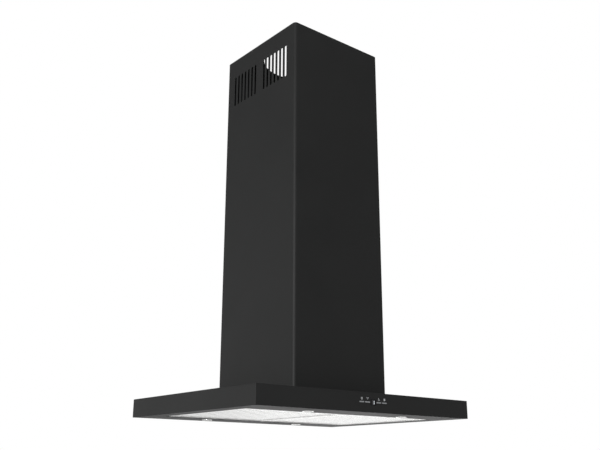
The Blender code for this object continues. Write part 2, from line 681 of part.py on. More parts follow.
def build_filter(word, side):
    """One filter on a pivot at its rear edge."""
    pivot = empty("filter_%s_pivot" % word, (side * FILTER_X, PIVOT_Y, FILTER_Z))
    centre = (0, -PIVOT_Y, 0)
    frame = block("filter_%s_frame" % word, (FILTER_WIDTH, FILTER_DEPTH, FILTER_HEIGHT), centre,
                  STAINLESS, pivot)
    front = -FILTER_DEPTH / 2
    rear = FILTER_DEPTH / 2

    def groove(bm):
        add_box(bm, (FILTER_WIDTH - 2 * FILTER_WALL, FILTER_DEPTH - 2 * FILTER_WALL,
                     FILTER_HEIGHT - 2 * FILTER_WALL))

    def window(bm):
        low = front + FILTER_FRONT_RAIL
        high = rear - FILTER_RAIL
        add_box(bm, (FILTER_WIDTH - 2 * FILTER_RAIL, high - low, 2 * FILTER_HEIGHT),
                (0, (low + high) / 2, 0))

    block_low = front + FILTER_WALL + FIT
    block_middle = block_low + LATCH_DEPTH / 2

    def latch_holes(bm):
        slot_depth = LATCH_DEPTH + LATCH_TRAVEL + 2 * FIT
        add_box(bm, (LATCH_TAB_WIDTH + 2 * FIT, slot_depth, FILTER_WALL * 3),
                (0, block_low - FIT + slot_depth / 2, -FILTER_HEIGHT / 2))
        add_box(bm, (BOLT_WIDTH + 2 * FIT, 4 * FILTER_WALL, BOLT_HEIGHT + 2 * FIT), (0, front, 0))

    cut(frame, cutter("filter_%s_groove" % word, groove, centre, pivot))
    cut(frame, cutter("filter_%s_window" % word, window, centre, pivot))
    cut(frame, cutter("filter_%s_latch_holes" % word, latch_holes, centre, pivot))

    def stubs(bm):
        for end in (-1, 1):
            add_rod(bm, PIVOT_RADIUS, PIVOT_REACH + PIVOT_ROOT,
                    (end * (FILTER_WIDTH / 2 + (PIVOT_REACH - PIVOT_ROOT) / 2), 0, 0), "X", 12)

    weld(frame, cutter("filter_%s_stubs" % word, stubs, parent=pivot))

    slat_low = block_low + LATCH_DEPTH + LATCH_TRAVEL + FIT
    ends = (slat_low, rear - FILTER_WALL - SLAT_REAR_ROOM)
    floor = -FILTER_HEIGHT / 2 + FILTER_WALL
    lower_z = floor + FIT + SLAT_HEIGHT / 2
    upper_z = lower_z + SLAT_HEIGHT + FIT
    slat_rack("filter_%s_lower_baffles" % word, SLATS, SLAT_WIDTH, True, ends,
              (0, -PIVOT_Y, lower_z), pivot)
    slat_rack("filter_%s_upper_baffles" % word, SLATS - 1, UPPER_SLAT_WIDTH, False, ends,
              (0, -PIVOT_Y, upper_z), pivot)

    room = FILTER_HEIGHT - 2 * FILTER_WALL - 2 * FIT
    latch = block("filter_%s_latch" % word, (LATCH_WIDTH, LATCH_DEPTH, room),
                  (0, block_middle - PIVOT_Y, 0), BRIGHT_METAL, pivot)

    def latch_ends(bm):
        tab_height = FILTER_WALL + 2 * FIT + SHEET
        add_box(bm, (LATCH_TAB_WIDTH, LATCH_TAB_DEPTH, tab_height),
                (0, 0, -FILTER_HEIGHT / 2 + tab_height / 2))
        bolt_length = BOLT_REACH + FILTER_WALL + LATCH_DEPTH / 2
        add_box(bm, (BOLT_WIDTH, bolt_length, BOLT_HEIGHT),
                (0, -LATCH_DEPTH / 2 - FIT - FILTER_WALL - BOLT_REACH + bolt_length / 2, 0))

    def finger_groove(bm):
        add_box(bm, (GROOVE_WIDTH, GROOVE_DEPTH, 2 * GROOVE_HEIGHT), (0, 0, -FILTER_HEIGHT / 2))

    place_of_latch = (0, block_middle - PIVOT_Y, 0)
    weld(latch, cutter("filter_%s_latch_ends" % word, latch_ends, place_of_latch, pivot))
    cut(latch, cutter("filter_%s_finger_groove" % word, finger_groove, place_of_latch, pivot))


# ---- Lamps --------------------------------------------------------------------------------

def build_lamps():
    under = -FIT
    bezel = [(LAMP_BARREL - LAMP_WALL, LAMP_HEIGHT), (LAMP_BARREL, LAMP_HEIGHT), (LAMP_BARREL, under),
             (LAMP_BEZEL, under), (LAMP_BEZEL, -LAMP_DROP / 2),
             (LAMP_BEZEL - LAMP_CHAMFER, -LAMP_DROP), (LAMP_MOUTH, -LAMP_DROP),
             (LAMP_MOUTH, -LAMP_DROP / 2),
             (LAMP_BARREL - LAMP_WALL, LENS_SEAT)]
    lens_radius = LAMP_BARREL - LAMP_WALL - FIT
    lens_low = LENS_SEAT + 2 * FIT
    lens = [(0, lens_low + LENS_THICKNESS), (lens_radius, lens_low + LENS_THICKNESS),
            (lens_radius, lens_low), (0, lens_low)]
    words = ("front_left", "front_right", "rear_left", "rear_right")
    places = [(x, y) for y in (-LAMP_Y, LAMP_Y) for x in (-LAMP_X, LAMP_X)]
    for word, (x, y) in zip(words, places):
        turned("lamp_housing_" + word, bezel, (x, y, CANOPY_BOTTOM), BRIGHT_METAL, steps=16,
               closed=True)
        turned("lamp_lens_" + word, lens, (x, y, CANOPY_BOTTOM), LENS, steps=16)


# ---- Controls -----------------------------------------------------------------------------

def build_controls():
    housing = folded("control_housing", (HOUSING_WIDTH, HOUSING_DEPTH, HOUSING_HEIGHT),
                     HOUSING_WALL, ("-Y",), (0, HOUSING_FRONT + HOUSING_DEPTH / 2, HOUSING_Z),
                     DARK_PLASTIC)

    def cable_exit(bm):
        add_rod(bm, CABLE_RADIUS + FIT, 6 * HOUSING_WALL, along="Y", sides=12)

    cut(housing, cutter("housing_cable_hole", cable_exit,
                        (BUTTON_X[3], HOUSING_FRONT + HOUSING_DEPTH, CABLE_Z)))

    board_y = FRONT_Y + BOARD_SETBACK + BOARD_SHEET / 2
    inner_width = HOUSING_WIDTH - 2 * HOUSING_WALL - 2 * FIT
    board = block("control_board", (inner_width, BOARD_SHEET, BOARD_HEIGHT),
                  (0, board_y, HOUSING_Z), BOARD_GREEN)

    def switches(bm):
        for x in BUTTON_X:
            add_box(bm, (SWITCH_SIZE, SWITCH_DEPTH + BOARD_SHEET / 2, SWITCH_SIZE),
                    (x, -SWITCH_DEPTH / 2 - BOARD_SHEET / 4, 0))

    weld(board, cutter("switches", switches, (0, board_y, CONTROLS_Z)))

    plate = SHEET + DISPLAY_FACE
    display = block("display", (DISPLAY_WIDTH, plate, DISPLAY_HEIGHT),
                    (0, FRONT_Y + plate / 2, CONTROLS_Z), GLOSS_BLACK)
    body_size = (DISPLAY_WIDTH - 2 * DISPLAY_STEP, DISPLAY_DEPTH, DISPLAY_HEIGHT - 2 * DISPLAY_STEP)
    body = block("display_body", body_size, (0, FRONT_Y + SHEET + DISPLAY_DEPTH / 2, CONTROLS_Z))
    weld(display, body)

    switch_face = FRONT_Y + BOARD_SETBACK - SWITCH_DEPTH
    stem_end = switch_face - BUTTON_TRAVEL - FIT
    flange_start = FRONT_Y + SHEET + FIT
    for word, x in zip(BUTTON_NAMES, BUTTON_X):
        cap_depth = BUTTON_PROUD + SHEET + FIT + BUTTON_FLANGE
        cap = block("button_" + word, (BUTTON_WIDTH, cap_depth, BUTTON_HEIGHT),
                    (x, FRONT_Y - BUTTON_PROUD + cap_depth / 2, CONTROLS_Z), PALE_MARK,
                    along="Y", radius=BUTTON_CORNER, segments=2)

        def flange(bm):
            add_box(bm, (BUTTON_WIDTH + 2 * BUTTON_RIM, BUTTON_FLANGE, BUTTON_HEIGHT + 2 * BUTTON_RIM),
                    (0, flange_start + BUTTON_FLANGE / 2, 0))

        def stem(bm):
            start = flange_start + BUTTON_FLANGE / 2
            add_box(bm, (STEM_WIDTH, stem_end - start, STEM_HEIGHT), (0, (stem_end + start) / 2, 0))

        weld(cap, cutter("button_%s_flange" % word, flange, (x, 0, CONTROLS_Z)))
        weld(cap, cutter("button_%s_stem" % word, stem, (x, 0, CONTROLS_Z)))


# ---- Blower -------------------------------------------------------------------------------

def build_blower_box():
    box = folded("blower_box", (2 * BLOWER_X, 2 * BLOWER_Y, BLOWER_HEIGHT), SHEET, ("-Z",),
                 (0, 0, BLOWER_FOOT + BLOWER_HEIGHT / 2), ZINC_STEEL)
    foot = block("blower_foot", (2 * FLANGE_X, 2 * FLANGE_Y, BLOWER_FLANGE),
                 (0, 0, BLOWER_FOOT + BLOWER_FLANGE / 2), along="Z",
                 radius=CHIMNEY_BEND - SHEET, segments=3)
    weld(box, foot)

    def holes(bm):
        inside = (2 * (BLOWER_X - SHEET), 2 * (BLOWER_Y - SHEET), 4 * BLOWER_FLANGE)
        add_box(bm, inside, (0, 0, BLOWER_FOOT))
        add_rod(bm, COLLAR_RADIUS - COLLAR_WALL, 8 * SHEET, (0, 0, BLOWER_TOP), sides=32)
        add_rod(bm, CABLE_HOLE, 8 * SHEET, (TERMINAL_X, CABLE_Y, BLOWER_FOOT), sides=12)

    cut(box, cutter("blower_box_holes", holes))


def scroll_outline(wall, mouth):
    """Outline of the scroll in (y, z) from the blower's axis, moved in by wall."""
    sweep = 2 * pi - SCROLL_CUTOFF
    growth = (SCROLL_END - SCROLL_START) / sweep
    points = []
    for i in range(SCROLL_STEPS + 1):
        angle = SCROLL_CUTOFF + sweep * i / SCROLL_STEPS
        radius = SCROLL_START + growth * (angle - SCROLL_CUTOFF) - wall
        points.append((radius * cos(angle), radius * sin(angle)))
    points.append((SCROLL_END - wall, mouth))
    points.append((SCROLL_START * cos(SCROLL_CUTOFF) + wall, mouth))
    return points


def prism(name, outline, thickness, location, look=None):
    """A flat outline in (y, z) given a thickness along X."""
    curve = bpy.data.curves.new(name, "CURVE")
    curve.dimensions = "2D"
    curve.fill_mode = "BOTH"
    curve.extrude = thickness / 2
    spline = curve.splines.new("POLY")
    spline.points.add(len(outline) - 1)
    for point, (y, z) in zip(spline.points, outline):
        point.co = (y, z, 0, 1)
    spline.use_cyclic_u = True
    guide = bpy.data.objects.new(name + "_outline", curve)
    CUTTERS.objects.link(guide)
    bpy.context.view_layer.update()
    seen = guide.evaluated_get(bpy.context.evaluated_depsgraph_get())
    mesh = bpy.data.meshes.new_from_object(seen)
    bpy.data.objects.remove(guide, do_unlink=True)
    bm = bmesh.new()
    bm.from_mesh(mesh)
    bmesh.ops.remove_doubles(bm, verts=bm.verts, dist=0.00001)
    upright = Matrix(((0, 0, 1), (1, 0, 0), (0, 1, 0)))
    bmesh.ops.transform(bm, matrix=upright.to_4x4(), verts=bm.verts)
    bmesh.ops.recalc_face_normals(bm, faces=bm.faces)
    bm.to_mesh(mesh)
    bm.free()
    mesh.materials.clear()
    return place(name, mesh, location, look)


def build_scroll():
    mouth = BLOWER_TOP - SHEET - FIT - AXIS_Z
    centre = (0, SCROLL_Y, AXIS_Z)
    scroll = prism("scroll_housing", scroll_outline(0, mouth), SCROLL_WIDTH, centre, GREY_PLASTIC)
    cavity = prism("scroll_cavity", scroll_outline(SCROLL_WALL, mouth + 4 * SCROLL_WALL),
                   SCROLL_WIDTH - 2 * SCROLL_WALL, centre)
    cut(scroll, cavity)

    def inlets(bm):
        for side in (-1, 1):
            add_rod(bm, INLET_RADIUS, 6 * SCROLL_WALL, (side * SCROLL_WIDTH / 2, 0, 0), "X", 28)

    cut(scroll, cutter("scroll_inlets", inlets, centre))


def build_impeller():
    axis = empty("impeller_axis", (0, SCROLL_Y, AXIS_Z))
    web = rod("impeller", IMPELLER_RADIUS, WEB_SHEET, (0, 0, 0), GREY_PLASTIC, axis, "X", 30)

    def blades(bm):
        middle = IMPELLER_RADIUS - BLADE_INSET
        for i in range(BLADES):
            angle = 2 * pi * i / BLADES
            centre = (0, middle * cos(angle), middle * sin(angle))
            turn = Matrix.Rotation(angle + BLADE_ANGLE, 3, "X")
            add_box(bm, (IMPELLER_LENGTH - RING_HEIGHT, BLADE_CHORD, BLADE_SHEET), centre, turn=turn)

    def rings(bm):
        for side in (-1, 1):
            x = side * (IMPELLER_LENGTH / 2 - RING_HEIGHT / 2)
            add_rod(bm, IMPELLER_RADIUS, RING_HEIGHT, (x, 0, 0), "X", 30)

    def ring_bores(bm):
        inner = IMPELLER_RADIUS - RING_DEPTH
        for side in (-1, 1):
            x = side * (IMPELLER_LENGTH / 2 - RING_HEIGHT / 2)
            add_rod(bm, inner, 2 * RING_HEIGHT, (x, 0, 0), "X", 30)

    def hub(bm):
        add_rod(bm, HUB_RADIUS, HUB_LENGTH, (-HUB_LENGTH / 2, 0, 0), "X", 16)

    def bore(bm):
        add_rod(bm, SHAFT_RADIUS + FIT, 4 * HUB_LENGTH, (0, 0, 0), "X", 12)

    ring_pair = cutter("impeller_rings", rings, parent=axis)
    cut(ring_pair, cutter("impeller_ring_bores", ring_bores, parent=axis))
    weld(web, cutter("impeller_blades", blades, parent=axis))
    weld(web, ring_pair)
    weld(web, cutter("impeller_hub", hub, parent=axis))
    cut(web, cutter("impeller_bore", bore, parent=axis))
    shaft_length = HUB_LENGTH + MOTOR_FACE - FIT
    rod("impeller_shaft", SHAFT_RADIUS, shaft_length,
        (MOTOR_FACE - FIT - shaft_length / 2, 0, 0), BRIGHT_METAL, axis, "X", 12)


def build_motor():
    half = MOTOR_LENGTH / 2
    one_end = [(0, half), (MOTOR_BOSS, half), (MOTOR_BOSS, half - MOTOR_BOSS_HEIGHT),
               (MOTOR_SHOULDER, half - MOTOR_CAP_HEIGHT), (MOTOR_RADIUS, half - MOTOR_EDGE)]
    profile = one_end + [(radius, -height) for radius, height in reversed(one_end)]
    turned("motor", profile, (MOTOR_FACE + half, SCROLL_Y, AXIS_Z), ZINC_STEEL, steps=24,
           along="X")
    centre = (SCROLL_WIDTH / 2 + FIT + SPIDER_SHEET / 2, SCROLL_Y, AXIS_Z)
    spider = rod("motor_bracket", SPIDER_RING, SPIDER_SHEET, centre, ZINC_STEEL, along="X",
                 sides=28)

    def window(bm):
        add_rod(bm, SPIDER_INNER, 3 * SPIDER_SHEET, along="X", sides=28)

    def arms(bm):
        start = MOTOR_RADIUS + SPIDER_HUB / 2
        end = SPIDER_INNER + SPIDER_LAP
        middle = (start + end) / 2
        for i in range(3):
            angle = pi / 2 + 2 * pi * i / 3
            add_box(bm, (SPIDER_ARM_SHEET, end - start, SPIDER_ARM),
                    (0, middle * cos(angle), middle * sin(angle)),
                    turn=Matrix.Rotation(angle, 3, "X"))

    def clamp(bm):
        add_rod(bm, MOTOR_RADIUS + SPIDER_HUB, SPIDER_SHEET, along="X", sides=24)

    def clamp_bore(bm):
        add_rod(bm, MOTOR_RADIUS + 3 * FIT, 4 * SPIDER_SHEET, along="X", sides=24)

    clamp_ring = cutter("motor_clamp", clamp, centre)
    cut(spider, cutter("spider_window", window, centre))
    weld(spider, cutter("spider_arms", arms, centre))
    weld(spider, clamp_ring)
    cut(spider, cutter("motor_clamp_bore", clamp_bore, centre))


def build_collar():
    inner = COLLAR_RADIUS - COLLAR_WALL
    profile = [(COLLAR_RADIUS, COLLAR_HEIGHT), (COLLAR_RADIUS, COLLAR_WALL),
               (COLLAR_FLANGE, COLLAR_WALL), (COLLAR_FLANGE, 0), (inner, 0), (inner, COLLAR_HEIGHT)]
    collar = turned("exhaust_collar", profile, (0, 0, COLLAR_FOOT), DARK_PLASTIC, steps=32,
                    closed=True)

    def axle_holes(bm):
        add_rod(bm, AXLE_RADIUS + FIT, 4 * COLLAR_RADIUS, along="X", sides=12)

    cut(collar, cutter("axle_holes", axle_holes, (0, 0, FLAP_Z)))
    rod("flap_axle", AXLE_RADIUS, 2 * (COLLAR_RADIUS - FIT), (0, 0, FLAP_Z), BRIGHT_METAL,
        along="X", sides=12)
    build_flap("front", -1)
    build_flap("rear", 1)


def build_flap(word, side):
    """A half-round flap hinged on the axle, with two knuckles that miss the other flap's."""
    hinge = empty("flap_%s_hinge" % word, (0, 0, FLAP_Z))
    radius = COLLAR_RADIUS - COLLAR_WALL - FLAP_GAP
    flap = rod("flap_" + word, radius, FLAP_SHEET, (0, 0, 0), DARK_PLASTIC, hinge, sides=32)

    def spare_half(bm):
        add_box(bm, (3 * radius, 2 * radius, 4 * FLAP_SHEET), (0, side * (FLAP_EDGE - radius), 0))

    knuckles = [KNUCKLE_PITCH * (i - 1.5) for i in range(4) if (i % 2 == 0) == (side < 0)]

    def tabs(bm):
        for x in knuckles:
            add_box(bm, (KNUCKLE_TAB, FLAP_EDGE, TAB_SHEET),
                    (x, side * (FLAP_EDGE / 2 + TAB_ROOT), 0))

    def barrels(bm):
        for x in knuckles:
            add_rod(bm, KNUCKLE_RADIUS, KNUCKLE_LENGTH, (x, 0, 0), "X", 12)

    def bores(bm):
        add_rod(bm, KNUCKLE_RADIUS - KNUCKLE_WALL, 3 * radius, along="X", sides=12)

    cut(flap, cutter("flap_%s_spare" % word, spare_half, parent=hinge))
    weld(flap, cutter("flap_%s_tabs" % word, tabs, parent=hinge))
    weld(flap, cutter("flap_%s_barrels" % word, barrels, parent=hinge))
    cut(flap, cutter("flap_%s_bores" % word, bores, parent=hinge))


# ---- Electrics ----------------------------------------------------------------------------

def build_electrics():
    depth, height = TERMINAL_SIZE[1:]
    foot = BLOWER_TOP + FIT
    box = folded("terminal_box", TERMINAL_SIZE, TERMINAL_WALL, ("-Z",),
                 (TERMINAL_X, TERMINAL_Y, foot + height / 2), DARK_PLASTIC)

    def box_holes(bm):
        add_rod(bm, GLAND_HOLE + FIT, 6 * TERMINAL_WALL, (TERMINAL_X, TERMINAL_Y, foot + height),
                sides=16)
        add_rod(bm, CABLE_RADIUS + FIT, 6 * TERMINAL_WALL,
                (TERMINAL_X, TERMINAL_Y - depth / 2, foot + height / 2), "Y", 12)

    cut(box, cutter("terminal_box_holes", box_holes))
    gland = [(GLAND_BORE, GLAND_HEIGHT), (GLAND_LIP, GLAND_HEIGHT),
             (GLAND_NUT, GLAND_HEIGHT - GLAND_CONE), (GLAND_NUT, GLAND_CHAMFER),
             (GLAND_HOLE, 0.0), (GLAND_HOLE, -GLAND_TAIL), (GLAND_BORE, -GLAND_TAIL)]
    turned("cable_gland", gland, (TERMINAL_X, TERMINAL_Y, foot + height + FIT), DARK_PLASTIC,
           steps=16, closed=True)
    block("lamp_driver", DRIVER_SIZE, (DRIVER_X, DRIVER_Y, foot + DRIVER_SIZE[2] / 2),
          DARK_PLASTIC, along="Z", radius=DRIVER_CORNER, segments=2)


def smooth_route(stops, spacing):
    """Points about spacing apart on a smooth curve through the stops."""
    ends = [2 * stops[0] - stops[1]] + stops + [2 * stops[-1] - stops[-2]]
    points = []
    for before, start, stop, after in zip(ends, ends[1:], ends[2:], ends[3:]):
        count = max(2, round((stop - start).length / spacing))
        for i in range(count):
            t = i / count
            points.append(0.5 * (2 * start + (stop - before) * t
                                 + (2 * before - 5 * start + 4 * stop - after) * t ** 2
                                 + (3 * start - before - 3 * stop + after) * t ** 3))
    points.append(stops[-1])
    return points


def build_cable():
    """The lead from the control housing up beside the blower box to the terminal box."""
    start = Vector((BUTTON_X[3], HOUSING_FRONT + HOUSING_DEPTH + FIT, CABLE_Z))
    hole = Vector((TERMINAL_X, CABLE_Y, CANOPY_TOP))
    end = Vector((TERMINAL_X, TERMINAL_Y - TERMINAL_SIZE[1] / 2 - FIT,
                  BLOWER_TOP + FIT + TERMINAL_SIZE[2] / 2))
    below_hole = Vector((hole.x, hole.y, CABLE_Z))
    beside_end = Vector((hole.x, hole.y, end.z))
    # The lead runs along the canopy, turns up through the hole, and turns in at the top.
    stops = [start, start + Vector((0, CABLE_LEAD, 0)), below_hole + Vector((*CABLE_SWING, 0)),
             below_hole + Vector((0, *CABLE_TURN)), hole, hole + Vector((0, 0, CABLE_CLIMB)),
             (hole + beside_end) / 2, beside_end - Vector((0, 0, CABLE_TOP)),
             beside_end + Vector((0, *CABLE_TOP_TURN)), end - Vector((0, CABLE_ENTRY, 0)), end]
    route = smooth_route(stops, CABLE_SPACING)
    curve = bpy.data.curves.new("control_cable", "CURVE")
    curve.dimensions = "3D"
    curve.bevel_depth = CABLE_RADIUS
    curve.bevel_resolution = 2
    curve.use_fill_caps = True
    spline = curve.splines.new("POLY")
    spline.points.add(len(route) - 1)
    for point, at in zip(spline.points, route):
        point.co = (*at, 1)
    cable = bpy.data.objects.new("control_cable", curve)
    PARTS.objects.link(cable)
    curve.materials.append(bpy.data.materials.get(DARK_PLASTIC[0]) or finish(*DARK_PLASTIC))


build_chimney()
build_bracket()
build_frame()
build_canopy()
build_filter("left", -1)
build_filter("right", 1)
build_lamps()
build_controls()
build_blower_box()
build_scroll()
build_impeller()
build_motor()
build_collar()
build_electrics()
build_cable()
bpy.context.view_layer.update()
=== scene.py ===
"""The looks of the island range hood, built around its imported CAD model.

All sizes are in metres, in the frame of the CAD model: the origin is on the ceiling, +Z points up
and the controls face -Y.
"""

import json
from math import cos, pi, radians, sin

import bmesh
import bpy
from mathutils import Matrix, Vector


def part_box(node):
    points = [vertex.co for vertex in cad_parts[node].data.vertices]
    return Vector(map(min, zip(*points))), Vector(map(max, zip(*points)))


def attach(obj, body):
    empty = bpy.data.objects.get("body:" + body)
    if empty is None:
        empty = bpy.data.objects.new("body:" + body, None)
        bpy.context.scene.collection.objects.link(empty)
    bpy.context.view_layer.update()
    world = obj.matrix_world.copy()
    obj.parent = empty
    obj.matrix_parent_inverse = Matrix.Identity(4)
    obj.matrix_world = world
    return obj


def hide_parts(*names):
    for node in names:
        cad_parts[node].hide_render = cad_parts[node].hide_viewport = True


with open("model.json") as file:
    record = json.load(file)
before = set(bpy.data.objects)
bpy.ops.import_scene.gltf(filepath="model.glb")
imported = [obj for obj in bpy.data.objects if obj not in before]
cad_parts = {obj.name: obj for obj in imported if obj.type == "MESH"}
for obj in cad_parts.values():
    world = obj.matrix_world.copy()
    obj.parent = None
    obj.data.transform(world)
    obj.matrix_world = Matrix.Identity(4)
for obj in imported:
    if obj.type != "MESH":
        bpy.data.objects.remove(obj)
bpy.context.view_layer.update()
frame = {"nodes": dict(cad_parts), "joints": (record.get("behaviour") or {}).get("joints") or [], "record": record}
NODES = frame["nodes"]

# ---- Sizes --------------------------------------------------------------------------------

SHEET = 0.0010                  # sheet steel of the covers
FILTER_SHEET = 0.0008
EDGE = 0.00025                  # rounding of cut edges
FINE_EDGE = 0.0002              # and of small pieces
BEND_STEPS = 10
FOLD_STEPS = 5

CHIMNEY_BEND = 0.012
LIP = 0.018                     # rear return lips of the chimney cover
SLOT_WIDTH = 0.0095
SLOT_LENGTH = 0.121
SLOT_TOP = 0.074
SLOT_PITCH = 0.0214
SLOTS_PER_GROUP = 7
SLOT_FIRST = 0.0265

CANOPY_EDGE = 0.0015
CANOPY_CUT_EDGE = 0.00018
CANOPY_MOUTH = 0.150            # half size of the opening in its top
MOUTH_CORNER = 0.010
PANEL_BEND = 0.0018             # rounded folds of the bottom panel
PANEL_CORNER = 0.0012
OPENING = (0.786, 0.454)        # for both filters
PIVOT_RADIUS = 0.002

FILTER_BEND = 0.0016
FILTER_EDGE = 0.00015
FRAME_ROOM = 0.0045             # from each end of the frame's box to its sheet
FRAME_CORNER = 0.004
WINDOW_CORNER = 0.003
FRONT_RAIL = 0.022
RAIL = 0.014
SLATS = 10
SLAT_PITCH = 0.036
SLAT_WIDTH = 0.026
UPPER_SLAT_WIDTH = 0.020
SLAT_BEND = 0.0016
SLAT_BEND_STEPS = 4
SLAT_EDGE = 0.00012
SLAT_END_ROOM = 0.0004
BAR_WIDTH = 0.008
BAR_END_ROOM = 0.001
BAR_LIFT = 0.0001               # from a bar to the slats it joins
MITRE = (0.040, 0.00035, 0.0005)
FRONT_MITRE = 1.004             # angle of the mitres at the wider front rail
PIN_LENGTH = 0.008
PIN_POINT = 0.0006              # tapered length
PIN_SIDES = 24
RIVET_PLACES = (-0.75, -0.25, 0.25, 0.75)   # shares of half the frame's depth
RIVET_RADIUS = 0.0022
RIVET_HEIGHT = 0.0006
RIVET_SIDES = 20

LATCH_DEPTH = 0.010
LATCH_TRAVEL = 0.005
LATCH_RISE = 0.0020             # of its block above the frame's underside
LATCH_TAB = (0.024, 0.009, 0.004)
LATCH_ROOM = 0.0003             # round the tab
TAB_HOLE_CORNER = 0.0007
BOLT_SECTION = (0.014, 0.0016)
BOLT_RISE = 0.006
BOLT_HOLE = (0.0146, 0.004, 0.0022)
RIDGES = 5
RIDGE = (0.019, 0.0006, 0.0012)
RIDGE_PITCH = 0.0014

LAMP_CORNERS = ("front_left", "front_right", "rear_left", "rear_right")
LAMP_HOLE = 0.0148
BEZEL_TUBE = 0.0145
BEZEL_RIM = 0.0180
BEZEL_MOUTH = 0.0120
LENS_RIM = 0.0006
LENS_DOME = 0.0012
LENS_RIPPLE = 0.00012
LENS_RINGS = 7

CONTROL_HOLE = 0.00035          # gap round each button
CONTROL_HOLE_CORNER = 0.0011
BUTTON_SIZE = (0.0190, 0.0034)
BUTTON_CORNER = 0.0008
BUTTON_EDGE = ((0.0, 0.00055), (0.00008, 0.0003), (0.00022, 0.00012), (0.0004, 0.0),
               (0.0022, 0.0))   # depth and inset of each ring
BUTTON_CROWN = 0.00018
BUTTON_CROWN_DEPTH = 0.001      # only rings in front of this are crowned
BUTTON_BACK = 0.0002            # from the box's front to the first ring
STEM_PLATE = (0.0212, 0.0010, 0.0056)
STEM_PLATE_DEPTH = 0.0027
STEM_START = 0.0030
STEM_SECTION = (0.004, 0.0024)
BUTTONS = {"power": -0.0485, "slower": -0.0240, "faster": 0.0240, "lamps": 0.0485}
MARK_HEIGHT = 0.0104            # middle of the marks above the middle of the buttons
MARK_SIZE = 0.0040              # half size of a mark
MARK_LINE = 0.0010
MARK_PROUD = 0.00008
MARK_SINK = 0.00002

DISPLAY_ROOM = 0.0003
DISPLAY_HOLE_CORNER = 0.0008
DISPLAY_CORNER = 0.0010
DISPLAY_EDGE = ((0.0005, 0.0), (0.00015, 0.0001), (0.0, 0.0004), (0.0, 0.0020))
CASE_START = 0.0021
CASE_INSET = 0.001
CASE_EDGE = 0.0004
DIGIT_WIDE = 0.0034             # half the digit's width
SEGMENT_LENGTH = 0.0060
SEGMENT_THICK = 0.00085         # half a segment's thickness
SEGMENT_GAP = 0.0002
SEGMENT_DEPTH = 0.00009
SEGMENT_SINK = 0.00001

SCREWS = 4
SCREW_SHANK = 0.00175
SCREW_HEAD = 0.0036
SCREW_HEAD_HEIGHT = 0.0020
SCREW_EDGE = 0.0001
CROSS_ARM = 0.0018
CROSS_WIDTH = 0.0007
CROSS_DEPTH = 0.0010

# ---- Camera -------------------------------------------------------------------------------

CAMERA_PLACE = Vector((-1.755, -2.1306, -1.5312))
CAMERA_YAW = 0.6871             # to the right of +Y
CAMERA_PITCH = 0.3027
CAMERA_ROLL = 0.0024
LENS = 47.45


def make_camera():
    ahead = Vector((sin(CAMERA_YAW) * cos(CAMERA_PITCH), cos(CAMERA_YAW) * cos(CAMERA_PITCH),
                    sin(CAMERA_PITCH)))
    level = Vector((cos(CAMERA_YAW), -sin(CAMERA_YAW), 0))
    upright = level.cross(ahead)
    right = level * cos(CAMERA_ROLL) + upright * sin(CAMERA_ROLL)
    up = upright * cos(CAMERA_ROLL) - level * sin(CAMERA_ROLL)
    data = bpy.data.cameras.new("camera")
    data.lens = LENS
    data.sensor_width = 36
    made = bpy.data.objects.new("camera", data)
    bpy.context.scene.collection.objects.link(made)
    turn = Matrix((right, up, -ahead)).transposed()
    made.matrix_world = Matrix.Translation(CAMERA_PLACE) @ turn.to_4x4()
    bpy.context.scene.camera = made


# ---- Shader helpers -----------------------------------------------------------------------

def add(tree, kind, inputs=None, **settings):
    """A shader node. inputs maps its sockets to values or to other nodes' outputs."""
    made = tree.nodes.new("ShaderNode" + kind)
    for key, value in settings.items():
        setattr(made, key, value)
    for key, value in (inputs or {}).items():
        if isinstance(value, bpy.types.NodeSocket):
            tree.links.new(value, made.inputs[key])
        else:
            made.inputs[key].default_value = value
    return made


def surface(name, **values):
    """A Principled material and its tree; values set the shader's sockets."""
    made = bpy.data.materials.new(name)
    made.use_nodes = True
    shader = made.node_tree.nodes["Principled BSDF"]
    for key, value in values.items():
        shader.inputs[key.replace("_", " ").title().replace("Ior", "IOR")].default_value = value
    return made, made.node_tree, shader


def stretched(tree, scale=(1, 1, 1)):
    """The object's own coordinates, scaled."""
    place = add(tree, "TexCoord").outputs["Object"]
    return add(tree, "Mapping", {"Vector": place, "Scale": scale}).outputs["Vector"]


def noise(tree, scale, detail=3.0, stretch=(1, 1, 1)):
    return add(tree, "TexNoise", {"Vector": stretched(tree, stretch), "Scale": scale,
                                  "Detail": detail}).outputs["Fac"]


def mapped(tree, factor, low, high, start=0.3, end=0.7):
    """A factor spread from low to high."""
    made = add(tree, "MapRange", {"Value": factor, "From Min": start, "From Max": end,
                                  "To Min": low, "To Max": high})
    return made.outputs["Result"]


def mixed(tree, factor, first, second):
    """A colour between two colours."""
    made = add(tree, "Mix", data_type="RGBA")
    tree.links.new(factor, made.inputs["Factor"])
    for socket, value in (("A", first), ("B", second)):
        entry = [s for s in made.inputs if s.name == socket and s.type == "RGBA"][0]
        if isinstance(value, bpy.types.NodeSocket):
            tree.links.new(value, entry)
        else:
            entry.default_value = (*value, 1)
    return [s for s in made.outputs if s.type == "RGBA"][0]


def raised(tree, height, distance, under=None):
    """A bump of a height texture, on top of another bump."""
    inputs = {"Height": height, "Distance": distance, "Strength": 1.0}
    if under is not None:
        inputs["Normal"] = under
    return add(tree, "Bump", inputs).outputs["Normal"]


def connect(tree, shader, **links):
    for key, value in links.items():
        tree.links.new(value, shader.inputs[key.replace("_", " ").title()])


# ---- Materials ----------------------------------------------------------------------------

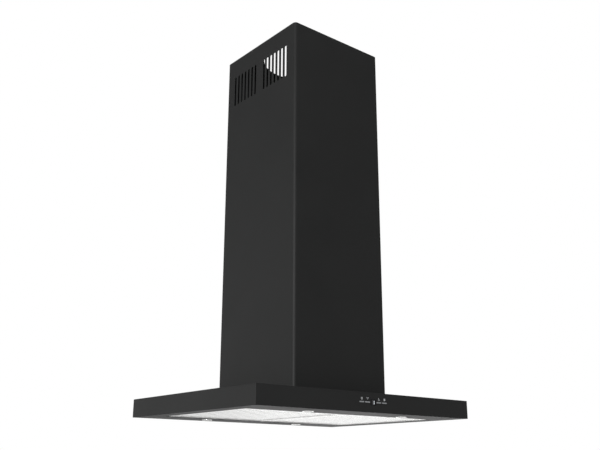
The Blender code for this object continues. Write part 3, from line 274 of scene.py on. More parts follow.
def powder_coat():
    """Satin black powder coat: fine orange peel, slightly uneven sheen and tone."""
    made, tree, shader = surface("black_paint_coat", ior=1.45, specular_ior_level=0.14)
    cloudy = noise(tree, 5, 2)
    grain = noise(tree, 520, 2)
    peel = noise(tree, 1700, 2)
    tone = mixed(tree, cloudy, (0.0068, 0.0070, 0.0070), (0.0092, 0.0094, 0.0093))
    flecked = mixed(tree, mapped(tree, grain, 0.0, 0.35), tone, (0.013, 0.013, 0.013))
    connect(tree, shader, base_color=flecked, roughness=mapped(tree, cloudy, 0.50, 0.57),
            normal=raised(tree, grain, 0.00003, raised(tree, peel, 0.00002)))
    return made


def brushed(name, light, dark, low, high, stretch):
    """Brushed metal whose lines run along the axis with the smallest stretch."""
    made, tree, shader = surface(name, metallic=1.0)
    lines = noise(tree, 1, 4, stretch)
    cloudy = noise(tree, 14, 2)
    tone = mixed(tree, mapped(tree, lines, 0.0, 1.0), dark, light)
    smudged = mixed(tree, mapped(tree, cloudy, 0.0, 0.25), tone, dark)
    connect(tree, shader, base_color=smudged, roughness=mapped(tree, lines, low, high),
            normal=raised(tree, lines, 0.00001))
    return made


def galvanised():
    """Zinc-coated sheet: crystal spangle in tone and sheen."""
    made, tree, shader = surface("zinc_spangle", metallic=1.0)
    cells = add(tree, "TexVoronoi", {"Vector": stretched(tree), "Scale": 110.0,
                                     "Randomness": 1.0})
    flake = add(tree, "SeparateColor", {"Color": cells.outputs["Color"]}).outputs["Red"]
    fine = noise(tree, 260, 3)
    tone = mixed(tree, flake, (0.40, 0.42, 0.44), (0.58, 0.59, 0.60))
    dulled = mixed(tree, mapped(tree, fine, 0.0, 0.4), tone, (0.36, 0.37, 0.38))
    connect(tree, shader, base_color=dulled, roughness=mapped(tree, flake, 0.34, 0.52, 0, 1),
            normal=raised(tree, fine, 0.00003))
    return made


def moulded(name, first, second, low, high, grain_scale=420, grain=0.00004):
    """Moulded plastic: fine texture and a little unevenness in tone and sheen."""
    made, tree, shader = surface(name)
    texture = noise(tree, grain_scale, 2)
    cloudy = noise(tree, 30, 2)
    connect(tree, shader, base_color=mixed(tree, cloudy, first, second),
            roughness=mapped(tree, texture, low, high),
            normal=raised(tree, texture, grain))
    return made


def frosted_lens():
    """Frosted lamp lens: pale, slightly clear, with fine frosting."""
    made, tree, shader = surface("frosted_lens_glass", transmission_weight=0.35, ior=1.47)
    frost = noise(tree, 900, 2)
    connect(tree, shader, base_color=mixed(tree, frost, (0.86, 0.87, 0.86), (0.95, 0.95, 0.93)),
            roughness=mapped(tree, frost, 0.30, 0.50), normal=raised(tree, frost, 0.00005))
    return made


def circuit_board():
    """Green solder mask with darker tracks."""
    made, tree, shader = surface("board_green_mask")
    tracks = add(tree, "TexBrick", {"Vector": stretched(tree), "Scale": 160.0,
                                    "Mortar Size": 0.03})
    tone = mixed(tree, tracks.outputs["Fac"], (0.02, 0.14, 0.06), (0.06, 0.26, 0.12))
    connect(tree, shader, base_color=tone, roughness=mapped(tree, noise(tree, 200), 0.35, 0.5),
            normal=raised(tree, tracks.outputs["Fac"], 0.00003))
    return made


def display_glass():
    """Black glass with the faintest haze of finger marks."""
    made, tree, shader = surface("display_black_glass", ior=1.5, specular_ior_level=0.2)
    haze = noise(tree, 160, 3)
    tone = mixed(tree, haze, (0.0015, 0.0015, 0.002), (0.004, 0.004, 0.005))
    connect(tree, shader, base_color=tone, roughness=mapped(tree, haze, 0.05, 0.14))
    return made


def lit_segment():
    """A glowing segment of the display, a little uneven."""
    made, tree, shader = surface("display_lit", roughness=0.4, emission_strength=0.35)
    glow = noise(tree, 900, 2)
    tone = mixed(tree, glow, (0.62, 0.66, 0.70), (0.76, 0.80, 0.84))
    connect(tree, shader, base_color=tone, emission_color=tone)
    return made


LOOKS = {
    "black_paint": powder_coat(),
    "stainless_steel": brushed("stainless_brushed", (0.80, 0.80, 0.79), (0.66, 0.66, 0.65), 0.22,
                               0.34, (900, 14, 900)),
    "zinc_steel": galvanised(),
    "bright_metal": brushed("bright_satin", (0.86, 0.86, 0.85), (0.72, 0.72, 0.71), 0.14, 0.24,
                            (500, 500, 1400)),
    "frosted_lens": frosted_lens(),
    "dark_plastic": moulded("dark_plastic_moulded", (0.024, 0.024, 0.026), (0.036, 0.036, 0.038),
                            0.42, 0.56),
    "grey_plastic": moulded("grey_plastic_moulded", (0.28, 0.29, 0.30), (0.36, 0.37, 0.38),
                            0.48, 0.62),
    "pale_button": moulded("pale_button_moulded", (0.13, 0.135, 0.14), (0.17, 0.175, 0.18), 0.30,
                           0.40, 700, 0.00002),
    "printed_mark": moulded("printed_mark_ink", (0.40, 0.41, 0.42), (0.48, 0.49, 0.50), 0.42,
                            0.54, 700, 0.00001),
    "display_black": display_glass(),
    "board_green": circuit_board(),
    "display_lit": lit_segment(),
}

# ---- Mesh helpers -------------------------------------------------------------------------

SLOT_OF = {d["node"]: d["material_slot"] for d in frame["record"]["subparts"]}
SMOOTH_ANGLE = radians(32)


def low_high(node):
    """The corners of a CAD node and the middle between them."""
    low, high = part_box(node)
    return low, high, (low + high) / 2


def bare(name, bm):
    """A linked object of finished bmesh geometry, with no material."""
    bmesh.ops.recalc_face_normals(bm, faces=bm.faces)
    mesh = bpy.data.meshes.new(name)
    bm.to_mesh(mesh)
    bm.free()
    made = bpy.data.objects.new(name, mesh)
    bpy.context.scene.collection.objects.link(made)
    return made


def baked(obj, used=()):
    """Applies every modifier of obj, then removes the cutters it used."""
    bpy.context.view_layer.update()
    seen = obj.evaluated_get(bpy.context.evaluated_depsgraph_get())
    mesh = bpy.data.meshes.new_from_object(seen)
    obj.modifiers.clear()
    obj.data = mesh
    for cutter in used:
        bpy.data.objects.remove(cutter, do_unlink=True)


def cut(obj, cutter, operation="DIFFERENCE"):
    step = obj.modifiers.new("cut", "BOOLEAN")
    step.operation = operation
    step.solver = "EXACT"
    step.object = cutter
    cutter.hide_render = True


def thicken(obj, sheet):
    step = obj.modifiers.new("sheet", "SOLIDIFY")
    step.thickness = sheet
    step.offset = -1.0
    step.use_even_offset = True


def soften(obj, width=EDGE):
    """Rounds every sharp edge."""
    step = obj.modifiers.new("edges", "BEVEL")
    step.width = width
    step.segments = 2
    step.limit_method = "ANGLE"
    step.angle_limit = SMOOTH_ANGLE
    step.use_clamp_overlap = True


def flatten(obj):
    """Smooth shading that keeps wide faces flat beside narrow rounded ones."""
    obj.data.shade_smooth()
    obj.data.set_sharp_from_angle(angle=SMOOTH_ANGLE)
    step = obj.modifiers.new("shading", "WEIGHTED_NORMAL")
    step.keep_sharp = True
    step.weight = 100


def dress(obj, look, body, *nodes):
    """Gives a finished piece its material, its body and the CAD nodes it stands for."""
    obj.data.materials.clear()
    obj.data.materials.append(LOOKS[look])
    flatten(obj)
    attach(obj, body)
    if nodes:
        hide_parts(*nodes)


def add_box(bm, size, centre, turn=None):
    verts = bmesh.ops.create_cube(bm, size=1.0)["verts"]
    bmesh.ops.scale(bm, vec=size, verts=verts)
    if turn is not None:
        bmesh.ops.rotate(bm, cent=(0, 0, 0), matrix=turn, verts=verts)
    bmesh.ops.translate(bm, vec=centre, verts=verts)


def add_prism(bm, outline, depth, place):
    """A flat outline given a depth; place maps (u, v, w) to a point, w from 0 to depth."""
    rings = [[bm.verts.new(place(u, v, w)) for u, v in outline] for w in (0, depth)]
    count = len(outline)
    bm.faces.new(list(reversed(rings[0])))
    bm.faces.new(rings[1])
    for i in range(count):
        j = (i + 1) % count
        bm.faces.new((rings[0][i], rings[0][j], rings[1][j], rings[1][i]))


def capsule(width, length, steps=9):
    """Outline of a slot with round ends, centred on (0, 0) and long in v."""
    radius = width / 2
    straight = length / 2 - radius
    points = []
    for side, start in ((1, 0.0), (-1, pi)):
        for i in range(steps + 1):
            angle = start + pi * i / steps
            points.append((radius * cos(angle), side * straight + radius * sin(angle)))
    return points


def circle(radius, steps):
    return [(radius * cos(2 * pi * i / steps), radius * sin(2 * pi * i / steps))
            for i in range(steps)]


def rounded_rectangle(half_x, half_y, radius, steps=6):
    """Points round a rectangle, the same number whatever the radius."""
    points = []
    for x, y, start in ((1, 1, 0.0), (-1, 1, pi / 2), (-1, -1, pi), (1, -1, 1.5 * pi)):
        for i in range(steps + 1):
            angle = start + pi / 2 * i / steps
            points.append((x * (half_x - radius) + radius * cos(angle),
                           y * (half_y - radius) + radius * sin(angle)))
    return points


def quarter(steps):
    """Angles from 0 to 90 degrees."""
    return [pi / 2 * i / steps for i in range(steps + 1)]


def join_loops(bm, loops, closed=False):
    """Faces between each loop of points and the next."""
    pairs = list(zip(loops, loops[1:]))
    if closed:
        pairs.append((loops[-1], loops[0]))
    for first, second in pairs:
        for i in range(len(first)):
            j = (i + 1) % len(first)
            bm.faces.new((first[i], first[j], second[j], second[i]))


def add_rings(bm, rings, closed=False):
    """Joins rings of points, each an (outline, height) about (0, 0)."""
    loops = [[bm.verts.new((x, y, z)) for x, y in outline] for outline, z in rings]
    join_loops(bm, loops, closed)
    return loops


def lathe(name, profile, steps=64, closed=True):
    """A turned piece about Z: profile lists (radius, height)."""
    bm = bmesh.new()
    rings = [(circle(radius, steps), height) for radius, height in profile]
    loops = add_rings(bm, rings, closed)
    if not closed:
        bm.faces.new(loops[0])
        bm.faces.new(loops[-1])
    return bare(name, bm)


# ---- Chimney cover ------------------------------------------------------------------------

def make_cover():
    low, high, middle = low_high("chimney_cover")
    half_x = high.x
    half_y = (high.y - low.y) / 2
    bend = CHIMNEY_BEND
    lip_end = half_x - bend - LIP
    path = [(lip_end, half_y)]
    corners = ((1, 1, pi / 2), (1, -1, 0.0), (-1, -1, -pi / 2), (-1, 1, pi))
    for x, y, start in corners:
        for i in range(BEND_STEPS + 1):
            angle = start - pi / 2 * i / BEND_STEPS
            path.append((x * (half_x - bend) + bend * cos(angle),
                         y * (half_y - bend) + bend * sin(angle)))
    path.append((-lip_end, half_y))
    bm = bmesh.new()
    rows = [[bm.verts.new((x, y + middle.y, z)) for x, y in path] for z in (low.z, high.z)]
    for i in range(len(path) - 1):
        bm.faces.new((rows[0][i], rows[0][i + 1], rows[1][i + 1], rows[1][i]))
    cover = bare("chimney_cover_sheet", bm)
    outward = cover.data.polygons[len(path) // 2].normal
    centre = cover.data.polygons[len(path) // 2].center
    if outward.dot(centre - middle) < 0:
        cover.data.flip_normals()
    thicken(cover, SHEET)
    slots = bmesh.new()
    slot_z = high.z - SLOT_TOP - SLOT_LENGTH / 2
    for side in (-1, 1):
        for group in (-1, 1):
            for i in range(SLOTS_PER_GROUP):
                y = group * (SLOT_FIRST + SLOT_PITCH * i)
                start = side * half_x - 3 * SHEET
                add_prism(slots, capsule(SLOT_WIDTH, SLOT_LENGTH), 6 * SHEET,
                          lambda u, v, w, y=y, start=start: (start + w, y + u, slot_z + v))
    cutter = bare("slot_cutter", slots)
    cut(cover, cutter)
    soften(cover)
    baked(cover, [cutter])
    dress(cover, "black_paint", "hood", "chimney_cover")


# ---- Canopy -------------------------------------------------------------------------------

def make_canopy():
    low, high, middle = low_high("canopy_shell")
    size = high - low
    bm = bmesh.new()
    add_box(bm, size, middle)
    bmesh.ops.bevel(bm, geom=list(bm.edges), offset=CANOPY_EDGE, segments=5, profile=0.5,
                    affect="EDGES")
    under = [face for face in bm.faces
             if face.calc_center_median().z < low.z + CANOPY_EDGE * 0.99]
    bmesh.ops.delete(bm, geom=under, context="FACES")
    rim = [edge for edge in bm.edges if edge.is_boundary]
    drop = bmesh.ops.extrude_edge_only(bm, edges=rim)["geom"]
    for vert in {v for v in drop if isinstance(v, bmesh.types.BMVert)}:
        vert.co.z = low.z
    shell = bare("canopy_sheet", bm)
    top = max(shell.data.polygons, key=lambda face: face.area)
    if top.normal.z * (1 if top.center.z > middle.z else -1) < 0:
        shell.data.flip_normals()
    thicken(shell, SHEET)
    holes = bmesh.new()
    for name, x in BUTTONS.items():
        centre = low_high("button_" + name)[2]
        outline = rounded_rectangle(BUTTON_SIZE[0] / 2 + CONTROL_HOLE,
                                    BUTTON_SIZE[1] / 2 + CONTROL_HOLE, CONTROL_HOLE_CORNER, 4)
        add_prism(holes, outline, 8 * SHEET,
                  lambda u, v, w, x=x, z=centre.z: (x + u, low.y - 4 * SHEET + w, z + v))
    first, last, centre = low_high("display")
    outline = rounded_rectangle((last.x - first.x) / 2 + DISPLAY_ROOM,
                                (last.z - first.z) / 2 + DISPLAY_ROOM, DISPLAY_HOLE_CORNER, 3)
    add_prism(holes, outline, 8 * SHEET,
              lambda u, v, w: (u, low.y - 4 * SHEET + w, centre.z + v))
    mouth = rounded_rectangle(CANOPY_MOUTH, CANOPY_MOUTH, MOUTH_CORNER)
    add_prism(holes, mouth, 8 * SHEET, lambda u, v, w: (u, v, high.z - 4 * SHEET + w))
    cutter = bare("canopy_cutter", holes)
    cut(shell, cutter)
    soften(shell, CANOPY_CUT_EDGE)
    baked(shell, [cutter])
    dress(shell, "black_paint", "hood", "canopy_shell")


def make_bottom_panel():
    """Tray with turned-up flanges, a rolled rim round the filters and holes for the lamps."""
    low, high = low_high("bottom_panel")[:2]
    half_x, half_y = high.x, high.y
    bend = PANEL_BEND
    rings = [(rounded_rectangle(half_x, half_y, PANEL_CORNER), high.z)]
    for angle in quarter(FOLD_STEPS):
        inset = bend * (1 - cos(angle))
        rings.append((rounded_rectangle(half_x - inset, half_y - inset, PANEL_CORNER),
                      low.z + bend * (1 - sin(angle))))
    inner_x, inner_y = OPENING[0] / 2, OPENING[1] / 2
    for angle in quarter(FOLD_STEPS):
        grow = bend * (1 - sin(angle))
        rings.append((rounded_rectangle(inner_x + grow, inner_y + grow, PANEL_CORNER + grow),
                      low.z + bend * (1 - cos(angle))))
    rings.append((rounded_rectangle(inner_x, inner_y, PANEL_CORNER), high.z))
    bm = bmesh.new()
    add_rings(bm, rings)
    panel = bare("bottom_panel_sheet", bm)
    largest = max(panel.data.polygons, key=lambda face: face.area)
    if largest.normal.z > 0:
        panel.data.flip_normals()
    thicken(panel, SHEET)
    holes = bmesh.new()
    for corner in LAMP_CORNERS:
        centre = low_high("lamp_housing_" + corner)[2]
        add_prism(holes, circle(LAMP_HOLE, 48), 8 * SHEET,
                  lambda u, v, w, c=centre: (c.x + u, c.y + v, low.z - 4 * SHEET + w))
    cutter = bare("lamp_hole_cutter", holes)
    cut(panel, cutter)
    soften(panel, FINE_EDGE)
    baked(panel, [cutter])
    dress(panel, "black_paint", "hood", "bottom_panel")


# ---- Filters ------------------------------------------------------------------------------

def make_filter(word):
    """A filter's folded frame with its pins and rivets, two racks of slats and a latch."""
    body = "filter_" + word
    low, high, middle = low_high("filter_%s_frame" % word)
    latch_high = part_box("filter_%s_latch" % word)[1]
    half_x = (high.x - low.x) / 2 - FRAME_ROOM
    half_y = (high.y - low.y) / 2
    half_z = (high.z - low.z) / 2
    bend = FILTER_BEND
    window_y = (FRONT_RAIL - RAIL) / 2

    def ring(inset, z, radius):
        return rounded_rectangle(half_x - inset, half_y - inset, radius), z

    def window(z):
        outline = rounded_rectangle(half_x - RAIL, half_y - (FRONT_RAIL + RAIL) / 2,
                                    WINDOW_CORNER)
        return [(x, y + window_y) for x, y in outline], z

    rings = [window(half_z)]
    for angle in quarter(FOLD_STEPS):
        inset = bend * (1 - sin(angle))
        rings.append(ring(inset, half_z - bend * (1 - cos(angle)), FRAME_CORNER - inset))
    for angle in quarter(FOLD_STEPS):
        inset = bend * (1 - cos(angle))
        rings.append(ring(inset, -half_z + bend * (1 - sin(angle)), FRAME_CORNER - inset))
    rings.append(window(-half_z))
    bm = bmesh.new()
    add_rings(bm, rings)
    bmesh.ops.translate(bm, vec=middle, verts=bm.verts)
    shell = bare("filter_%s_frame_sheet" % word, bm)
    lowest = min(shell.data.polygons, key=lambda face: face.center.z)
    if lowest.normal.z > 0:
        shell.data.flip_normals()
    thicken(shell, FILTER_SHEET)
    holes = bmesh.new()
    tab_middle = latch_high.y - LATCH_DEPTH / 2 + LATCH_TRAVEL / 2
    tab_hole = rounded_rectangle(LATCH_TAB[0] / 2 + LATCH_ROOM,
                                 (LATCH_TAB[1] + LATCH_TRAVEL) / 2 + LATCH_ROOM,
                                 TAB_HOLE_CORNER, 4)
    add_prism(holes, tab_hole, 4 * FILTER_SHEET,
              lambda u, v, w: (middle.x + u, tab_middle + v, low.z - 2 * FILTER_SHEET + w))
    add_box(holes, BOLT_HOLE, (middle.x, low.y, middle.z))
    cutter = bare("filter_cutter", holes)
    cut(shell, cutter)
    mitres = bmesh.new()
    for x in (-1, 1):
        for y in (-1, 1):
            rail_y = FRONT_RAIL if y < 0 else RAIL
            centre = (middle.x + x * (half_x - RAIL / 2), middle.y + y * (half_y - rail_y / 2),
                      low.z)
            turn = Matrix.Rotation(x * y * (pi / 4 if y > 0 else FRONT_MITRE), 3, "Z")
            add_box(mitres, MITRE, centre, turn)
    seams = bare("mitre_cutter", mitres)
    cut(shell, seams)
    soften(shell, FILTER_EDGE)
    baked(shell, [cutter, seams])
    dress(shell, "stainless_steel", body, "filter_%s_frame" % word)

    pins = bmesh.new()
    for side, end in ((-1, low.x), (1, high.x)):
        start = end - side * PIN_LENGTH
        profile = ((PIVOT_RADIUS, 0.0), (PIVOT_RADIUS, PIN_LENGTH - PIN_POINT),
                   (PIVOT_RADIUS * 0.75, PIN_LENGTH))
        loops = [[pins.verts.new((start + side * along, pivot_y(word) + u, middle.z + v))
                  for u, v in circle(radius, PIN_SIDES)] for radius, along in profile]
        join_loops(pins, loops)
        pins.faces.new(loops[0])
        pins.faces.new(loops[-1])
    dress(bare("filter_%s_pins" % word, pins), "bright_metal", body)

    rivets = bmesh.new()
    for x in (-1, 1):
        for y in RIVET_PLACES:
            add_rivet(rivets, (middle.x + x * (half_x - RAIL / 2), middle.y + y * half_y, low.z))
    dress(bare("filter_%s_rivets" % word, rivets), "stainless_steel", body)

    make_slats(word, "lower", SLATS, SLAT_WIDTH, 1, body)
    make_slats(word, "upper", SLATS - 1, UPPER_SLAT_WIDTH, -1, body)
    make_latch(word)


def pivot_y(word):
    joint = [j for j in frame["joints"] if j["name"] == "filter_%s_hinge" % word][0]
    return joint["pos_m"][1]


def add_rivet(bm, centre):
    """A flat dome whose top faces down."""
    profile = ((1.0, -0.0001), (0.95, RIVET_HEIGHT * 0.55), (0.7, RIVET_HEIGHT * 0.88),
               (0.3, RIVET_HEIGHT))
    loops = [[bm.verts.new((centre[0] + u, centre[1] + v, centre[2] - drop))
              for u, v in circle(RIVET_RADIUS * share, RIVET_SIDES)] for share, drop in profile]
    join_loops(bm, loops)
    bm.faces.new(loops[-1])


def make_slats(word, level, count, width, legs, body):
    """Channels of bent sheet joined by a bar at each end; legs is 1 where they point up."""
    node = "filter_%s_%s_baffles" % (word, level)
    low, high, middle = low_high(node)
    half = (high.z - low.z) / 2
    section = [(-width / 2, legs * half)]
    for angle in quarter(SLAT_BEND_STEPS):
        section.append((-width / 2 + SLAT_BEND * (1 + cos(pi + angle)),
                        -legs * (half - SLAT_BEND * (1 + sin(pi + angle)))))
    section += [(-x, z) for x, z in reversed(section)]
    ends = (low.y + SLAT_END_ROOM, high.y - SLAT_END_ROOM)
    bm = bmesh.new()
    for i in range(count):
        x = middle.x + (i - (count - 1) / 2) * SLAT_PITCH
        rows = [[bm.verts.new((x + u, y, middle.z + v)) for u, v in section] for y in ends]
        for k in range(len(section) - 1):
            bm.faces.new((rows[0][k], rows[0][k + 1], rows[1][k + 1], rows[1][k]))
    slats = bare(node + "_sheet", bm)
    base = [face for face in slats.data.polygons if abs(face.normal.z) > 0.99][0]
    if base.normal.z * legs > 0:
        slats.data.flip_normals()
    thicken(slats, FILTER_SHEET)
    soften(slats, SLAT_EDGE)
    baked(slats)
    dress(slats, "stainless_steel", body, node)
    bars = bmesh.new()
    for y in (ends[0] + BAR_WIDTH / 2, ends[1] - BAR_WIDTH / 2):
        add_box(bars, (high.x - low.x - 2 * BAR_END_ROOM, BAR_WIDTH, FILTER_SHEET),
                (middle.x, y, middle.z - legs * (half - 1.5 * FILTER_SHEET - BAR_LIFT)))
    bar = bare(node + "_bars", bars)
    soften(bar, FINE_EDGE)
    baked(bar)
    dress(bar, "stainless_steel", body)


def make_latch(word):
    """Sliding latch: body, bolt and a ridged finger tab."""
    low, high, middle = low_high("filter_%s_latch" % word)
    frame_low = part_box("filter_%s_frame" % word)[0]
    bm = bmesh.new()
    block_y = high.y - LATCH_DEPTH / 2
    block_low = frame_low.z + LATCH_RISE
    add_box(bm, (high.x - low.x, LATCH_DEPTH, high.z - block_low),
            (middle.x, block_y, (high.z + block_low) / 2))
    latch = bare("filter_%s_latch_body" % word, bm)
    tab = bmesh.new()
    add_box(tab, LATCH_TAB, (middle.x, block_y, low.z + LATCH_TAB[2] / 2))
    tab_piece = bare("tab", tab)
    bolt = bmesh.new()
    add_box(bolt, (BOLT_SECTION[0], block_y - low.y, BOLT_SECTION[1]),
            (middle.x, (block_y + low.y) / 2, frame_low.z + BOLT_RISE))
    bolt_piece = bare("bolt", bolt)
    cut(latch, tab_piece, "UNION")
    cut(latch, bolt_piece, "UNION")
    grooves = bmesh.new()
    for i in range(RIDGES):
        add_box(grooves, RIDGE, (middle.x, block_y + (i - RIDGES // 2) * RIDGE_PITCH, low.z))
    ridges = bare("ridges", grooves)
    cut(latch, ridges)
    soften(latch, FINE_EDGE)
    baked(latch, [tab_piece, bolt_piece, ridges])
    dress(latch, "bright_metal", "latch_" + word, "filter_%s_latch" % word)


# ---- Lamps --------------------------------------------------------------------------------

def make_lamps():
    panel_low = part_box("bottom_panel")[0].z
    for corner in LAMP_CORNERS:
        low, high, middle = low_high("lamp_housing_" + corner)
        drop = low.z - panel_low
        top = high.z - panel_low
        tube, rim, mouth = BEZEL_TUBE, BEZEL_RIM, BEZEL_MOUTH
        profile = [(tube - 0.0015, top), (tube, top - 0.0004), (tube, -0.0003),
                   (rim - 0.0004, -0.0003), (rim, -0.0007), (rim, drop * 0.45),
                   (rim - 0.0003, drop * 0.75), (rim - 0.0010, drop * 0.95),
                   (rim - 0.0020, drop), (mouth + 0.0012, drop), (mouth + 0.0004, drop * 0.92),
                   (mouth, drop * 0.72), (mouth, drop * 0.4), (mouth + 0.0010, 0.0005)]
        bezel = lathe("lamp_bezel_" + corner, profile)
        bezel.data.transform(Matrix.Translation((middle.x, middle.y, panel_low)))
        dress(bezel, "bright_metal", "hood", "lamp_housing_" + corner)
        lens_low, lens_high, lens_middle = low_high("lamp_lens_" + corner)
        thickness = lens_high.z - lens_low.z
        radius = lens_high.x - lens_middle.x
        dome = [(radius, thickness), (radius, LENS_RIM)]
        for i in range(LENS_RINGS):
            share = 1 - (i + 1) / (LENS_RINGS + 1)
            ripple = LENS_RIPPLE if i % 2 else 0.0
            dome.append((radius * share, LENS_RIM - LENS_DOME * (1 - share ** 2) + ripple))
        lens = lathe("lamp_lens_dome_" + corner, dome, closed=False)
        lens.data.transform(Matrix.Translation((middle.x, middle.y, lens_low.z)))
        dress(lens, "frosted_lens", "hood", "lamp_lens_" + corner)


# ---- Controls -----------------------------------------------------------------------------

def make_buttons():
    for name, x in BUTTONS.items():
        low, high, middle = low_high("button_" + name)
        front = low.y
        bm = bmesh.new()
        half_x, half_z = BUTTON_SIZE[0] / 2, BUTTON_SIZE[1] / 2
        rings = [(rounded_rectangle(half_x - inset, half_z - inset, BUTTON_CORNER), depth)
                 for depth, inset in BUTTON_EDGE]
        loops = add_rings(bm, rings)
        bm.faces.new(loops[0])
        bm.faces.new(loops[-1])
        for vert in bm.verts:
            u, v, w = vert.co
            crown = BUTTON_CROWN * (1 - (u / half_x) ** 2) if w < BUTTON_CROWN_DEPTH else 0
            vert.co = (x + u, front + BUTTON_BACK + w - crown, middle.z + v)
        cap = bare("button_%s_cap" % name, bm)
        dress(cap, "pale_button", name + "_key", "button_" + name)
        stem = bmesh.new()
        add_box(stem, STEM_PLATE, (x, front + STEM_PLATE_DEPTH, middle.z))
        start = front + STEM_START
        add_box(stem, (STEM_SECTION[0], high.y - start, STEM_SECTION[1]),
                (x, (high.y + start) / 2, middle.z))
        rear = bare("button_%s_stem" % name, stem)
        soften(rear, FINE_EDGE)
        baked(rear)
        dress(rear, "pale_button", name + "_key")


def add_stroke(bm, points, width, closed=False):
    """A flat band along points in (u, v), on the canopy's face, MARK_PROUD thick."""
    points = [Vector(p) for p in points]
    count = len(points)
    sides = []
    for i, point in enumerate(points):
        before = points[i - 1] if closed or i > 0 else point
        after = points[(i + 1) % count] if closed or i < count - 1 else point
        across = Vector((-(after - before).y, (after - before).x)).normalized() * width / 2
        sides.append((point + across, point - across))
    rows = []
    for depth in (MARK_SINK, -MARK_PROUD):
        rows.append([[bm.verts.new((p.x, depth, p.y)) for p in pair] for pair in sides])
    for i in range(count if closed else count - 1):
        j = (i + 1) % count
        for row in rows:
            bm.faces.new((row[i][0], row[j][0], row[j][1], row[i][1]))
        for side in (0, 1):
            bm.faces.new((rows[0][i][side], rows[0][j][side], rows[1][j][side], rows[1][i][side]))
    if not closed:
        for i in (0, count - 1):
            bm.faces.new((rows[0][i][0], rows[0][i][1], rows[1][i][1], rows[1][i][0]))


def arc(radius, start, end, steps=20):
    angles = [start + (end - start) * i / steps for i in range(steps + 1)]
    return [(radius * cos(angle), radius * sin(angle)) for angle in angles]


def marks_of(name):
    """Strokes of a mark, each (points, closed), within MARK_SIZE of (0, 0)."""
    size = MARK_SIZE
    if name == "power":
        return [(arc(size * 0.80, pi / 2 + 0.6, pi / 2 + 2 * pi - 0.6), False),
                ([(0, size), (0, size * 0.15)], False)]
    if name in ("slower", "faster"):
        tip = size if name == "faster" else -size
        return [([(-size * 0.75, -tip * 0.75), (0, tip * 0.85), (size * 0.75, -tip * 0.75)], True)]
    rays = [pi / 4 * i for i in range(8)]
    return [(arc(size * 0.45, 0, 2 * pi * 19 / 20, 19), True)] + [
        ([(size * 0.70 * cos(a), size * 0.70 * sin(a)), (size * cos(a), size * sin(a))], False)
        for a in rays]


def make_marks():
    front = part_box("canopy_shell")[0].y
    for name, x in BUTTONS.items():
        z = low_high("button_" + name)[2].z + MARK_HEIGHT
        bm = bmesh.new()
        for stroke, closed in marks_of(name):
            add_stroke(bm, stroke, MARK_LINE, closed)
        bmesh.ops.translate(bm, vec=(x, front, z), verts=bm.verts)
        dress(bare("mark_" + name, bm), "printed_mark", "hood")


def make_display():
    """Glass window with a one-digit, seven-segment read-out that shows 1."""
    low, high, middle = low_high("display")
    front = low.y
    half_x = (high.x - low.x) / 2
    half_z = (high.z - low.z) / 2
    rings = [(rounded_rectangle(half_x - inset, half_z - inset, DISPLAY_CORNER), depth)
             for inset, depth in DISPLAY_EDGE]
    bm = bmesh.new()
    loops = add_rings(bm, rings)
    bm.faces.new(loops[0])
    bm.faces.new(loops[-1])
    for vert in bm.verts:
        u, v, w = vert.co
        vert.co = (u, front + w, middle.z + v)
    dress(bare("display_window", bm), "display_black", "hood", "display")
    case = bmesh.new()
    start = front + CASE_START
    add_box(case, (2 * (half_x - CASE_INSET), high.y - start, 2 * (half_z - CASE_INSET)),
            (0, (high.y + start) / 2, middle.z))
    body = bare("display_case", case)
    soften(body, CASE_EDGE)
    baked(body)
    dress(body, "dark_plastic", "hood")

    wide, tall, thick = DIGIT_WIDE, SEGMENT_LENGTH, SEGMENT_THICK
    segments = {"top": ((0, 2 * tall), 0), "middle": ((0, tall), 0), "bottom": ((0, 0), 0),
                "upper_left": ((-wide, 1.5 * tall), 1), "upper_right": ((wide, 1.5 * tall), 1),
                "lower_left": ((-wide, 0.5 * tall), 1), "lower_right": ((wide, 0.5 * tall), 1)}
    lit = bmesh.new()
    dim = bmesh.new()
    for name, (centre, upright) in segments.items():
        length = (tall if upright else 2 * wide) / 2 - SEGMENT_GAP
        outline = [(-length, 0), (-length + thick, thick), (length - thick, thick), (length, 0),
                   (length - thick, -thick), (-length + thick, -thick)]
        if upright:
            outline = [(v, u) for u, v in outline]
        target = lit if name.endswith("right") else dim
        add_prism(target, outline, SEGMENT_DEPTH,
                  lambda u, v, w, c=centre: (c[0] + u, front + SEGMENT_SINK - w,
                                             middle.z + c[1] - tall + v))
    dress(bare("display_digit", lit), "display_lit", "hood")
    dress(bare("display_digit_dark", dim), "dark_plastic", "hood")


# ---- Screws -------------------------------------------------------------------------------

def turned(points, quarters):
    """The points turned about (0, 0) by a number of quarter turns."""
    for _ in range(quarters):
        points = [(-v, u) for u, v in points]
    return points


